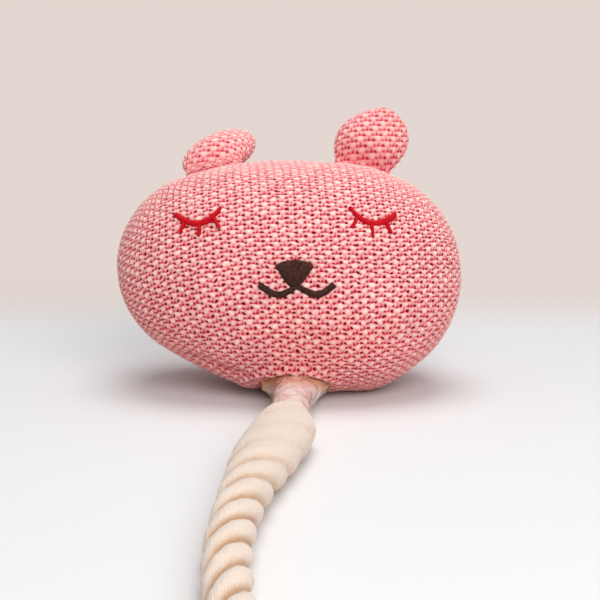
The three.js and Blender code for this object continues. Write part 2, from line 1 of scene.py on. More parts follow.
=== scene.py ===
"""Looks of a knitted rattle toy: a stuffed animal head with a rope tail, built round its solids.

Sizes are in millimetres and the scene is in metres, in the frame of the solids: +Z is up, the
face and the rope look along -Y, and the origin lies on the flat under the head.
"""

from __future__ import annotations

import logging
import math
from dataclasses import dataclass, field
from enum import Enum
from functools import cached_property
from typing import Any, Callable

import bpy
import numpy as np
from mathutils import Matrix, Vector


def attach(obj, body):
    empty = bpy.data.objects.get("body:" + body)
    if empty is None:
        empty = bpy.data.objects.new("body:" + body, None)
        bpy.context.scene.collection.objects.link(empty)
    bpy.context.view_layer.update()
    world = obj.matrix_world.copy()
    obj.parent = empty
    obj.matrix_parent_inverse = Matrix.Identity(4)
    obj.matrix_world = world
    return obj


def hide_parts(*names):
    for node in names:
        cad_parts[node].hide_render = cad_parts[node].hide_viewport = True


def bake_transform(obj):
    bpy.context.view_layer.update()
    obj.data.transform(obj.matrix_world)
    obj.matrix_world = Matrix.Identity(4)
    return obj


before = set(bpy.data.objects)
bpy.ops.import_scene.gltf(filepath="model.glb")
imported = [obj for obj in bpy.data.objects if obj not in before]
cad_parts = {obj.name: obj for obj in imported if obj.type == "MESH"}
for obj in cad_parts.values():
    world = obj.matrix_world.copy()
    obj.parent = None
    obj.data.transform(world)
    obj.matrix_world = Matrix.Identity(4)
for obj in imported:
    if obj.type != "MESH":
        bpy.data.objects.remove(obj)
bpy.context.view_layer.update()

Array = np.ndarray
Piece = bpy.types.Object
Tree = bpy.types.NodeTree
Node = bpy.types.Node
Socket = bpy.types.NodeSocket
Inputs = dict[str | int, Any]
LOG = logging.getLogger("rattle_toy")
MM = 0.001
BAKE_MAP = "OFBake"
# The third knit value is painted shade, which darkens the stitches' colour
KNIT_VALUES = ("knit_across", "knit_along", "knit_painted_shade")
FIT_GAP = 0.3
FLOOR_GAP = 0.2
LEAST_LIFT = 0.05
TURN = 2 * math.pi


class Side(Enum):
    """The side of the toy that a paired piece is on, as the sign of its X."""

    LEFT = -1
    RIGHT = 1

    @property
    def word(self) -> str:
        """The side's name as the solids have it."""
        return self.name.lower()


# Shader and mesh helpers


def linear(hex_colour: str) -> tuple[float, float, float, float]:
    """Turns an sRGB hex colour into linear light.

    Args:
        hex_colour: A hash and six hex digits.

    Returns:
        Red, green, blue and alpha for a shader socket.
    """
    channels = [int(hex_colour[start:start + 2], 16) / 255 for start in (1, 3, 5)]
    red, green, blue = (
        value / 12.92 if value <= 0.04045 else ((value + 0.055) / 1.055) ** 2.4
        for value in channels
    )
    return red, green, blue, 1.0


def first_output(value: Any) -> Any:
    """Gives a node's first output, and anything else as it is."""
    return value.outputs[0] if isinstance(value, Node) else value


def wire(tree: Tree, node: Node, inputs: Inputs) -> None:
    """Sets or links a node's inputs.

    Args:
        tree: The node tree that the node is in.
        node: The node.
        inputs: For each input socket, a value, or a socket, a term or a node's first output to link.
    """
    for name, value in inputs.items():
        value = first_output(getattr(value, "socket", value))
        if isinstance(value, Socket):
            tree.links.new(value, node.inputs[name])
        else:
            node.inputs[name].default_value = value


def add_node(
    tree: Tree,
    kind: str,
    inputs: Inputs | None = None,
    stops: tuple[tuple[float, str], ...] = (),
    **settings: Any,
) -> Node:
    """Adds a node with its settings and links.

    Args:
        tree: The node tree that it goes into.
        kind: The node's type name.
        inputs: What is set or linked at each input socket.
        stops: Places and hex colours of a colour ramp.
        settings: The node's own properties.

    Returns:
        The new node.
    """
    node = tree.nodes.new(kind)
    for name, value in settings.items():
        setattr(node, name, value)
    for place, _ in stops[2:]:
        node.color_ramp.elements.new(place)
    for element, (place, colour) in zip(node.color_ramp.elements if stops else (), stops):
        element.position = place
        element.color = linear(colour)
    wire(tree, node, inputs or {})
    return node


def maths(operation: str) -> Callable[..., Term]:
    """Makes a method of Term.

    Args:
        operation: The operation of the maths node that the method adds.

    Returns:
        The method, which takes what else goes into the node.
    """

    def method(term: Term, *others: Term | float) -> Term:
        """Reckons with the term and what else is given."""
        return term.reckon(operation, term, *others)

    return method


class Term:
    """A shader value that reckons like a number: each operation adds a maths node."""

    def __init__(self, tree: Tree, source: Socket | Node) -> None:
        """Takes a socket, or a node's first output, as a term."""
        self.tree = tree
        self.socket = first_output(source)

    def reckon(self, operation: str, *terms: Term | float) -> Term:
        """Adds a maths node that takes terms in order, and gives its result."""
        node = add_node(self.tree, "ShaderNodeMath", dict(enumerate(terms)), operation=operation)
        return Term(self.tree, node)

    def __rsub__(self, other: float) -> Term:
        """Is taken away from a number."""
        return self.reckon("SUBTRACT", other, self)

    def clip(self, low: float, high: float) -> Term:
        """Keeps between two numbers."""
        return self.reckon("MAXIMUM", self.reckon("MINIMUM", self, high), low)

    __add__ = __radd__ = maths("ADD")
    __sub__ = maths("SUBTRACT")
    __mul__ = __rmul__ = maths("MULTIPLY")
    __truediv__ = maths("DIVIDE")
    __mod__ = maths("FLOORED_MODULO")
    __pow__ = maths("POWER")
    __abs__ = maths("ABSOLUTE")
    round = maths("ROUND")


@dataclass
class Skin:
    """A mesh in the making, in millimetres.

    Attributes:
        points: One row for each point.
        faces: Arrays of faces, each with its own number of corners.
        charts: For each array of faces, the place of every corner on the flat map.
        values: Numbers that each point carries for the shader.
    """

    points: Array
    faces: list[Array]
    charts: list[Array] = field(default_factory=list)
    values: dict[str, Array] = field(default_factory=dict)

    def turned_out(self) -> Skin:
        """Turns every face round if the closed skin faces inwards."""
        volume = 0.0
        for faces in self.faces:
            first = self.points[faces[:, 0]]
            for corner in range(1, faces.shape[1] - 1):
                second = self.points[faces[:, corner]]
                third = self.points[faces[:, corner + 1]]
                volume += float(np.einsum("ij,ij->", first, np.cross(second, third)))
        if volume < 0:
            self.faces = [faces[:, ::-1] for faces in self.faces]
            self.charts = [chart[:, ::-1] for chart in self.charts]
        return self

    @staticmethod
    def joined(skins: list[Skin]) -> Skin:
        """Puts several skins into one.

        Args:
            skins: Skins with the same named values.

        Returns:
            One skin with all their points and faces, and no charts.
        """
        starts = np.cumsum([0] + [len(skin.points) for skin in skins[:-1]])
        faces = [part + start for skin, start in zip(skins, starts) for part in skin.faces]
        names = skins[0].values
        values = {name: np.concatenate([skin.values[name] for skin in skins]) for name in names}
        return Skin(np.concatenate([skin.points for skin in skins]), faces, [], values)


def grid_faces(rows: int, columns: int, wrap: bool = False) -> Array:
    """Lists the quads of a grid of points that is numbered row by row.

    Args:
        rows: Rows of points.
        columns: Points in a row.
        wrap: Whether the last column joins the first.

    Returns:
        One row of four point numbers for each quad.
    """
    row = np.arange(rows - 1)[:, None] * columns
    column = np.arange(columns if wrap else columns - 1)[None, :]
    after = (column + 1) % columns
    corners = [row + column, row + after, row + columns + after, row + columns + column]
    return np.stack(np.broadcast_arrays(*corners), -1).reshape(-1, 4)


def grid_chart(rows: int, columns: int, wrap: bool, box: tuple[float, ...]) -> Array:
    """Lays a grid's quads out flat.

    Args:
        rows: Rows of points.
        columns: Points in a row.
        wrap: Whether the last column joins the first.
        box: Left, bottom, right and top of the grid on the flat map.

    Returns:
        The place of each quad's four corners.
    """
    spans = columns if wrap else columns - 1
    across, up = np.meshgrid(np.arange(spans), np.arange(rows - 1))
    left, bottom, right, top = box
    places = []
    for right_step, up_step in ((0, 0), (1, 0), (1, 1), (0, 1)):
        x = left + (right - left) * (across + right_step) / spans
        y = bottom + (top - bottom) * (up + up_step) / (rows - 1)
        places.append(np.stack([x, y], -1).reshape(-1, 2))
    return np.stack(places, 1)


def fan_faces(centre: int, ring: Array) -> Array:
    """Lists the triangles that close a ring of points, in order, to a centre point."""
    return np.stack([np.full(len(ring), centre), np.roll(ring, -1), ring], -1)


def tube_faces(rows: int, around: int) -> list[Array]:
    """Lists the faces of a tube that closes to two points, which are numbered after its rings.

    Args:
        rows: Rings of points.
        around: Points in a ring.

    Returns:
        Its quads, and the triangles of its first and of its last end.
    """
    count = rows * around
    ring = np.arange(around)
    first, last = fan_faces(count, ring), fan_faces(count + 1, (count - around + ring)[::-1])
    return [grid_faces(rows, around, wrap=True), first, last]


def tube_charts(rows: int, around: int, margin: float = 0.02) -> list[Array]:
    """Lays the faces of such a tube out flat.

    Args:
        rows: Rings of points.
        around: Points in a ring.
        margin: The share of the flat map that each end has.

    Returns:
        The places of the corners, in the same order as the faces.
    """
    charts = [grid_chart(rows, around, True, (0.0, margin, 1.0, 1 - margin))]
    for tip, base in ((0.0, margin / 2), (1.0, 1 - margin / 2)):
        corners = np.array([[0.5, tip], [0.5 + margin / 2, base], [0.5 - margin / 2, base]])
        charts.append(np.broadcast_to(corners, (around, 3, 2)))
    return charts


def unit(vectors: Array) -> Array:
    """Scales each row to a length of one."""
    return vectors / np.maximum(np.linalg.norm(vectors, axis=-1, keepdims=True), 1e-12)


def smooth_step(value: Array, low: float, high: float) -> Array:
    """Rises smoothly from 0 at low to 1 at high."""
    share = np.clip((value - low) / (high - low), 0, 1)
    return share * share * (3 - 2 * share)


def bell(away: Array, width: float) -> Array:
    """Falls off smoothly from 1, to about a third at a width away."""
    return np.exp(-((away / width) ** 2))


def run_along(path: Array) -> Array:
    """Gives the distance along a path to each of its points."""
    return np.concatenate([[0], np.cumsum(np.linalg.norm(np.diff(path, axis=0), axis=1))])


def at_places(path: Array, run: Array, places: Array) -> Array:
    """Reads a path, whose points lie at distances along a run, at other places of that run."""
    return np.stack([np.interp(places, run, line) for line in path.T], -1)


def spline(knots: Array, spacing: float, fineness: int = 40) -> Array:
    """Draws a smooth curve through points.

    Args:
        knots: The points, one row each.
        spacing: The distance between the points of the curve.
        fineness: Steps to each point that the curve is worked out in.

    Returns:
        Evenly spaced points on the curve, with both ends kept.
    """
    chords = run_along(knots)
    slopes = np.gradient(knots, chords, axis=0)
    fine = np.linspace(0, chords[-1], fineness * len(knots))
    span = np.clip(np.searchsorted(chords, fine, "right") - 1, 0, len(knots) - 2)
    width = (chords[span + 1] - chords[span])[:, None]
    share = (fine - chords[span])[:, None] / width
    curve = (
        (1 + 2 * share) * (1 - share) ** 2 * knots[span]
        + share * (1 - share) ** 2 * width * slopes[span]
        + share**2 * (3 - 2 * share) * knots[span + 1]
        + share**2 * (share - 1) * width * slopes[span + 1]
    )
    run = run_along(curve)
    steps = max(int(round(run[-1] / spacing)), 2)
    return at_places(curve, run, np.linspace(0, run[-1], steps + 1))


def frames_along(path: Array) -> tuple[Array, Array]:
    """Finds two cross directions along a path that twist as little as they can.

    Args:
        path: The path's points.

    Returns:
        A first and a second cross direction for each point.
    """
    along = unit(np.gradient(path, axis=0))
    first = np.zeros_like(path)
    start = np.array([0.0, 0.0, 1.0]) if abs(along[0, 2]) < 0.9 else np.array([1.0, 0.0, 0.0])
    first[0] = unit(start - along[0] * (start @ along[0]))
    for step in range(1, len(path)):
        kept = first[step - 1] - along[step] * (first[step - 1] @ along[step])
        first[step] = unit(kept)
    return first, np.cross(along, first)


def rings(first: Array, second: Array, angle: Array) -> Array:
    """Gives the directions round a path at angles from its first to its second cross direction."""
    turn = angle[None, :, None]
    return np.cos(turn) * first[:, None] + np.sin(turn) * second[:, None]


def tube(path: Array, radii: Array, sides: int, point: float = 0.6) -> Skin:
    """Sweeps a round bar along a path and closes both ends to a point.

    Args:
        path: The path's points.
        radii: The bar's radius at each of them.
        sides: Corners of its section.
        point: How far its ends stand out, in radii.

    Returns:
        The bar's skin.
    """
    angle = np.arange(sides) * TURN / sides
    wall = path[:, None] + radii[:, None, None] * rings(*frames_along(path), angle)
    ends = np.stack([
        path[0] - unit(path[1] - path[0]) * radii[0] * point,
        path[-1] + unit(path[-1] - path[-2]) * radii[-1] * point,
    ])
    points = np.concatenate([wall.reshape(-1, 3), ends])
    return Skin(points, tube_faces(len(path), sides)).turned_out()


@dataclass(frozen=True)
class Ripple:
    """Smooth unevenness in space: a sum of waves, the same on each run.

    Attributes:
        length: The middle wavelength.
        seed: The seed of its directions and phases.
        count: How many waves are added.
        spread: How far their lengths differ from the middle one, as a share.
    """

    length: float
    seed: int
    count: int = 10
    spread: float = 0.3

    def at(self, points: Array) -> Array:
        """Gives the unevenness at points.

        Args:
            points: One row for each point.

        Returns:
            Values round zero that are mostly between -1 and 1.
        """
        draw = np.random.default_rng(self.seed)
        total = np.zeros(len(points))
        for _ in range(self.count):
            way = unit(draw.normal(size=3))
            length = self.length * (1 - self.spread + 2 * self.spread * draw.random())
            total += np.sin(points @ (way * TURN / length) + TURN * draw.random())
        return total / math.sqrt(2 * self.count)


def make_piece(name: str, skin: Skin, finish: Finish) -> Piece:
    """Makes a mesh object of a skin, in metres.

    Args:
        name: The piece's name.
        skin: Its skin in millimetres.
        finish: What its surface is made of.

    Returns:
        The new object.
    """
    mesh = bpy.data.meshes.new(name)
    mesh.vertices.add(len(skin.points))
    mesh.vertices.foreach_set("co", (skin.points * MM).astype(np.float32).ravel())
    corners = np.concatenate([faces.ravel() for faces in skin.faces]).astype(np.int32)
    sizes = np.concatenate([np.full(len(faces), faces.shape[1]) for faces in skin.faces])
    starts = np.concatenate([[0], np.cumsum(sizes)[:-1]]).astype(np.int32)
    mesh.loops.add(len(corners))
    mesh.loops.foreach_set("vertex_index", corners)
    mesh.polygons.add(len(sizes))
    mesh.polygons.foreach_set("loop_start", starts)
    mesh.update(calc_edges=True)
    if skin.charts:
        chart = np.concatenate([part.reshape(-1, 2) for part in skin.charts])
        layer = mesh.uv_layers.new(name=BAKE_MAP)
        layer.uv.foreach_set("vector", chart.astype(np.float32).ravel())
    for label, values in skin.values.items():
        attribute = mesh.attributes.new(label, "FLOAT", "POINT")
        attribute.data.foreach_set("value", values.astype(np.float32))
    mesh.shade_smooth()
    mesh.validate()
    mesh.materials.append(finish.material())
    piece = bpy.data.objects.new(name, mesh)
    bpy.context.scene.collection.objects.link(piece)
    LOG.info("%s: %d points, %d faces", name, len(mesh.vertices), len(mesh.polygons))
    return piece


# Finishes


@dataclass(frozen=True)
class Finish:
    """What a surface is made of, with the sizes of its patterns in millimetres.

    Attributes:
        name: The real material and how its surface was made.
    """

    name: str

    def dress(self, tree: Tree, place: Socket) -> Inputs:
        """Adds the material's own nodes.

        Args:
            tree: The material's node tree.
            place: The place on the object.

        Returns:
            What is set or linked at each input of the Principled shader.
        """
        raise NotImplementedError

    def material(self) -> bpy.types.Material:
        """Gives the material, which is made at its first use."""
        made = bpy.data.materials.get(self.name)
        if made is None:
            made = bpy.data.materials.new(self.name)
            made.use_nodes = True
            tree = made.node_tree
            place = add_node(tree, "ShaderNodeTexCoord").outputs["Object"]
            wire(tree, tree.nodes["Principled BSDF"], self.dress(tree, place))
        return made


def per_metre(size: float) -> float:
    """The texture scale at which a pattern's features have a size in millimetres."""
    return 1 / (size * MM)


@dataclass(frozen=True)
class MossStitch:
    """Moss stitch: tented loops in a checkerboard, with slits, strands and small holes between them.

    The stitch's own width, height and relief are in millimetres. Other widths are in columns, heights
    in rows, and levels go from 0 in the holes to 1.

    Attributes:
        crown: Level of a raised loop.
        loop_width: Half width of a raised loop at the middle of its height.
        tent: How much it narrows upward.
        bed: Level of a sunken loop.
        strand: Half height of the strands that run level between the loops.
        slit: Half width and half height of the slit in the middle of a sunken loop.
        lean: How far the slit leans over.
        hole: Half width and half height of a hole beside a loop.
        hole_depths: Depth of the holes on a loop's left and on its right.
    """

    column: float = 2.82
    row: float = 1.52
    relief: float = 1.0
    crown: float = 0.9
    loop_width: float = 0.34
    loop_height: float = 0.55
    tent: float = 0.8
    bed: float = 0.42
    strand: float = 0.44
    strand_at: float = 0.14
    strand_rise: float = 0.28
    slit: tuple[float, float] = (0.16, 0.6)
    slit_at: float = -0.16
    slit_depth: float = 0.36
    lean: float = 0.14
    hole: tuple[float, float] = (0.2, 0.32)
    hole_at: float = -0.32
    hole_depths: tuple[float, float] = (0.7, 0.34)

    def level(self, across: Array | Term, along: Array | Term) -> Array | Term:
        """Gives the knit's relief, for the points of a mesh or for a shader.

        Args:
            across: Places across the columns, in columns.
            along: Places along the columns, in rows.

        Returns:
            The level at each place.
        """
        column, row = across.round(), along.round()
        x, y = across - column, along - row
        sunken = (column + row) % 2
        apart = sunken + (1 - 2 * sunken) * abs(x)
        width = self.loop_width * (1 - self.tent * y)
        loop = (1 - (apart / width) ** 2 - (abs(y) / self.loop_height) ** 3).clip(0, 1)
        strand = (1 - (abs(y - self.strand_at) / self.strand) ** 2).clip(0, 1)
        from_slit = abs(x - self.lean * y) / self.slit[0], abs(y - self.slit_at) / self.slit[1]
        slit = sunken * (1 - from_slit[0] ** 2 - from_slit[1] ** 2).clip(0, 1)
        low = self.bed + self.strand_rise * strand - self.slit_depth * slit**0.5
        line = (along - self.hole_at).round()
        from_hole = (0.5 - abs(x)) / self.hole[0], abs(along - self.hole_at - line) / self.hole[1]
        hole = (1 - from_hole[0] ** 2 - from_hole[1] ** 2).clip(0, 1)
        on_right = (0.5 + (1 - 2 * ((column + line) % 2)) * x).round()
        deep = self.hole_depths[0] + (self.hole_depths[1] - self.hole_depths[0]) * on_right
        return (low + loop**0.5 * (self.crown - low) - deep * hole**0.5).clip(0, 1)


@dataclass(frozen=True)
class KnitYarn(Finish):
    """Cotton knitting yarn, spun soft and machine-knitted in moss stitch.

    Painted highlight makes the raised loops pale, and painted shade turns the sunken ones coral
    between them and the holes beside each loop crimson. The fibres make the surface matt and a
    little downy.
    """

    name: str = "cotton_yarn_moss_knit"
    stitch: MossStitch = MossStitch()
    # The ramp runs from painted shade in the holes to painted highlight on the raised loops
    stops: tuple[tuple[float, str], ...] = (
        (0.0, "#7d0c1c"), (0.14, "#b62639"), (0.3, "#dd5764"),
        (0.5, "#e88c91"), (0.7, "#f0b3b1"), (0.9, "#fad2cd"), (1.0, "#fce4dd"),
    )
    # Real fibres are too fine to show, so these are drawn as tufts of them
    fibre: float = 0.45
    fibre_show: float = 0.34
    stitch_show: float = 0.13
    patch: float = 9.0
    patch_shades: tuple[float, float] = (0.95, 1.04)

    def dress(self, tree: Tree, place: Socket) -> Inputs:
        """Paints shade and highlight by the stitches, with patches and fibres (see the base class)."""
        across, along, depth = (
            Term(tree, add_node(tree, "ShaderNodeAttribute", attribute_name=name).outputs["Fac"])
            for name in KNIT_VALUES
        )
        fibres = Term(tree, add_node(tree, "ShaderNodeTexNoise", {
            "Vector": place, "Scale": per_metre(self.fibre), "Detail": 2.0, "Roughness": 0.6,
        }))
        patches = add_node(tree, "ShaderNodeTexNoise", {
            "Vector": place, "Scale": per_metre(self.patch), "Detail": 1.0,
        })
        which = add_node(tree, "ShaderNodeCombineXYZ", {0: across.round(), 1: along.round()})
        lot = Term(tree, add_node(tree, "ShaderNodeTexWhiteNoise", {"Vector": which}))
        stitches = self.stitch.level(across, along)
        # The third knit value darkens the level: painted shade low down, in folds and at the ears' seams
        level = stitches * depth + self.fibre_show * (fibres - 0.5) + self.stitch_show * (lot - 0.5)
        tint = add_node(tree, "ShaderNodeValToRGB", {0: level}, self.stops)
        darkest, palest = self.patch_shades
        shade = add_node(tree, "ShaderNodeMapRange", {
            "Value": patches, "From Min": 0.3, "From Max": 0.7, "To Min": darkest, "To Max": palest,
        })
        colour = add_node(tree, "ShaderNodeHueSaturation", {"Value": shade, "Color": tint})
        bump = add_node(tree, "ShaderNodeBump", {
            "Strength": 0.5, "Distance": 0.45 * MM, "Height": stitches + 0.5 * fibres,
        })
        return {
            "Base Color": colour, "Normal": bump,
            "Roughness": 0.9, "Specular IOR Level": 0.2,
            "Sheen Weight": 0.25, "Sheen Roughness": 0.4, "Sheen Tint": linear("#ffe2dc"),
        }


@dataclass(frozen=True)
class SatinThread(Finish):
    """Trilobal polyester embroidery thread, laid side by side by machine.

    Each thread has a soft silky gloss along its length, and the dye is deep and even.
    """

    name: str = "polyester_thread_red"
    colour: str = "#d4041e"
    shade: str = "#a00515"
    # Coarser than the real twist, so that it shows
    twist: float = 0.3
    roughness: float = 0.42

    def dress(self, tree: Tree, place: Socket) -> Inputs:
        """Mottles the thread between its colour and a darker shade, with a fine twist (see the base class).
        """
        twist = add_node(tree, "ShaderNodeTexNoise", {
            "Vector": place, "Scale": per_metre(self.twist), "Detail": 3.0,
        })
        stops = (0.3, self.shade), (0.62, self.colour)
        tint = add_node(tree, "ShaderNodeValToRGB", {0: twist}, stops)
        bump = add_node(tree, "ShaderNodeBump", {"Strength": 0.4, "Distance": 0.12 * MM, "Height": twist})
        return {
            "Base Color": tint, "Normal": bump,
            "Roughness": self.roughness, "Specular IOR Level": 0.16,
        }


@dataclass(frozen=True)
class CottonRope(Finish):
    """Natural cotton, spun into yarns and laid in three strands.

    The crowns are cream and downy, painted shade turns the grooves between the strands and the
    yarns tan, and flecks of seed and unbleached fibre run along the yarns.
    """

    name: str = "natural_cotton_laid_rope"
    crown: str = "#e5d5c8"
    middle: str = "#d4b9a1"
    groove_shade: str = "#b68c67"
    fleck: float = 1.6
    fleck_show: float = 0.3
    # Real fibres are too fine to show, so these are drawn as tufts of them
    fibre: float = 0.35

    def dress(self, tree: Tree, place: Socket) -> Inputs:
        """Colours the rope from painted shade in its grooves to its crowns, with flecks (see the base class).
        """
        relief = Term(tree, add_node(tree, "ShaderNodeAttribute", attribute_name="relief").outputs["Fac"])
        fibres = add_node(tree, "ShaderNodeTexNoise", {
            "Vector": place, "Scale": per_metre(self.fibre), "Detail": 3.0, "Roughness": 0.65,
        })
        flecks = Term(tree, add_node(tree, "ShaderNodeTexNoise", {
            "Vector": place, "Scale": per_metre(self.fleck), "Detail": 2.0,
        }))
        # Painted shade darkens the grooves
        stops = (0.0, self.groove_shade), (0.45, self.middle), (0.9, self.crown)
        level = relief + self.fleck_show * (flecks - 0.5)
        tint = add_node(tree, "ShaderNodeValToRGB", {0: level}, stops)
        bump = add_node(tree, "ShaderNodeBump", {"Strength": 0.6, "Distance": 0.3 * MM, "Height": fibres})
        return {
            "Base Color": tint, "Normal": bump,
            "Roughness": 0.93, "Specular IOR Level": 0.2,
            "Sheen Weight": 0.3, "Sheen Roughness": 0.5,
        }


@dataclass(frozen=True)
class ClearFilm(Finish):
    """Polyethylene film, wound round the rope and shrunk on until it crinkled.

    It is thin and glossy, lets the cream rope show through, and gathers tan where it doubles.
    Painted shade draws the creases between its crinkles as tan lines.
    """

    name: str = "polyethylene_film_shrunk"
    thin: str = "#fffaf3"
    doubled: str = "#eabf97"
    crinkle: float = 3.2
    waver: float = 1.1
    drawn_out: float = 0.42
    crease_shade_show: float = 0.4
    crease_fineness: float = 13.0

    def dress(self, tree: Tree, place: Socket) -> Inputs:
        """Tints the film where it gathers, paints shade on its creases and crinkles it along the rope (see
        the base class).
        """
        gather = Term(tree, add_node(tree, "ShaderNodeAttribute", attribute_name="relief").outputs["Fac"])
        stretch = (1.0, self.drawn_out, 1.0)
        drawn = add_node(tree, "ShaderNodeMapping", {"Vector": place, "Scale": stretch})
        noise = add_node(tree, "ShaderNodeTexNoise", {
            "Vector": drawn, "Scale": per_metre(self.crinkle), "Detail": 2.0,
        })
        bent = add_node(tree, "ShaderNodeVectorMath", {
            0: noise.outputs["Color"], 1: (self.waver * 2 * MM,) * 3, 2: drawn,
        }, operation="MULTIPLY_ADD")
        cells = {"Vector": bent, "Scale": per_metre(self.crinkle)}
        facets, edges = (
            add_node(tree, "ShaderNodeTexVoronoi", cells, feature=feature)
            for feature in ("F1", "DISTANCE_TO_EDGE")
        )
        # Painted shade along the crease lines between the crinkles
        painted_crease_shade = (1 - Term(tree, edges) * self.crease_fineness).clip(0, 1)
        stops = (0.0, self.thin), (0.9, self.doubled)
        tint = add_node(tree, "ShaderNodeValToRGB", {0: gather + self.crease_shade_show * painted_crease_shade}, stops)
        bump = add_node(tree, "ShaderNodeBump", {"Strength": 0.45, "Distance": 1.1 * MM, "Height": facets})
        return {
            "Base Color": tint, "Normal": bump,
            "Alpha": 0.88, "Roughness": 0.12, "IOR": 1.51,
            "Coat Weight": 0.8, "Coat Roughness": 0.08,
        }


@dataclass(frozen=True)
class FibreFill(Finish):
    """Hollow polyester fibre, carded into wads.

    It is white and matt, with a lumpy surface of crossing fibres.
    """

    name: str = "polyester_fibre_wad"
    bright: str = "#f4f1ea"
    dull: str = "#d8d2c6"
    # Tufts, because a single fibre is too fine to show
    fibre: float = 0.8

    def dress(self, tree: Tree, place: Socket) -> Inputs:
        """Mottles the wad with its fibres (see the base class)."""
        fibres = add_node(tree, "ShaderNodeTexNoise", {
            "Vector": place, "Scale": per_metre(self.fibre), "Detail": 5.0, "Distortion": 2.0,
        })
        stops = (0.3, self.dull), (0.65, self.bright)
        tint = add_node(tree, "ShaderNodeValToRGB", {0: fibres}, stops)
        bump = add_node(tree, "ShaderNodeBump", {"Strength": 0.7, "Distance": 0.6 * MM, "Height": fibres})
        return {"Base Color": tint, "Normal": bump, "Roughness": 0.95, "Sheen Weight": 0.4}


@dataclass(frozen=True)
class MouldedCapsule(Finish):
    """Polypropylene, injection-moulded in a spark-eroded mould.

    It is milky white with a fine even grain that softens the gloss.
    """

    name: str = "polypropylene_moulded_white"
    colour: str = "#ebebe7"
    streak: str = "#dedfdb"
    flow: float = 12.0
    # Coarser than a real mould's grain, so that it shows
    grain: float = 0.5

    def dress(self, tree: Tree, place: Socket) -> Inputs:
        """Adds the mould's grain and faint flow marks (see the base class)."""
        grain, flow = (
            add_node(tree, "ShaderNodeTexNoise", {"Vector": place, "Scale": per_metre(size)})
            for size in (self.grain, self.flow)
        )
        stops = (0.35, self.streak), (0.65, self.colour)
        tint = add_node(tree, "ShaderNodeValToRGB", {0: flow}, stops)
        bump = add_node(tree, "ShaderNodeBump", {"Strength": 0.25, "Distance": 0.08 * MM, "Height": grain})
        rough = add_node(tree, "ShaderNodeMapRange", {"Value": grain, "To Min": 0.34, "To Max": 0.46})
        return {"Base Color": tint, "Normal": bump, "Roughness": rough, "IOR": 1.49}


@dataclass(frozen=True)
class TumbledSteel(Finish):
    """Carbon steel balls, tumbled bright and a little scuffed by rattling.

    They mirror what is round them, and fine scratches blur the mirror.
    """

    name: str = "carbon_steel_tumbled"
    bright: str = "#bfc1c4"
    scuffed: str = "#94979b"
    scratch: float = 0.4

    def dress(self, tree: Tree, place: Socket) -> Inputs:
        """Scuffs the steel (see the base class)."""
        scuffs = add_node(tree, "ShaderNodeTexNoise", {
            "Vector": place, "Scale": per_metre(self.scratch), "Detail": 4.0, "Distortion": 1.5,
        })
        stops = (0.35, self.scuffed), (0.6, self.bright)
        tint = add_node(tree, "ShaderNodeValToRGB", {0: scuffs}, stops)
        rough = add_node(tree, "ShaderNodeMapRange", {"Value": scuffs, "To Min": 0.2, "To Max": 0.4})
        return {"Base Color": tint, "Roughness": rough, "Metallic": 1.0}


CLOSE_STITCH = MossStitch(column=2.5, row=1.85, hole_depths=(0.4, 0.2))
# The ears' yarn, with the same painted shade and highlight at a softer contrast
CLOSE_YARN = KnitYarn("cotton_yarn_moss_knit_close", CLOSE_STITCH, (
    (0.0, "#a3202f"), (0.14, "#c84150"), (0.3, "#e0666f"),
    (0.5, "#ea8f93"), (0.7, "#f0adac"), (0.9, "#f7c4c0"), (1.0, "#f9d2cc"),
))
RED_THREAD = SatinThread()
BROWN_THREAD = SatinThread("polyester_thread_brown", "#4b2c26", "#120605", twist=0.7, roughness=0.62)


# Head form and knit


@dataclass(frozen=True)
class Corner:
    """A lower corner of the head's outline that the stuffing leaves drawn in or full.

    Attributes:
        share: How far the outline moves out, as a share of its radius.
        angle: Where it is, in degrees up from the right.
        spread: How wide it is, in degrees.
    """

    share: float
    angle: float
    spread: float


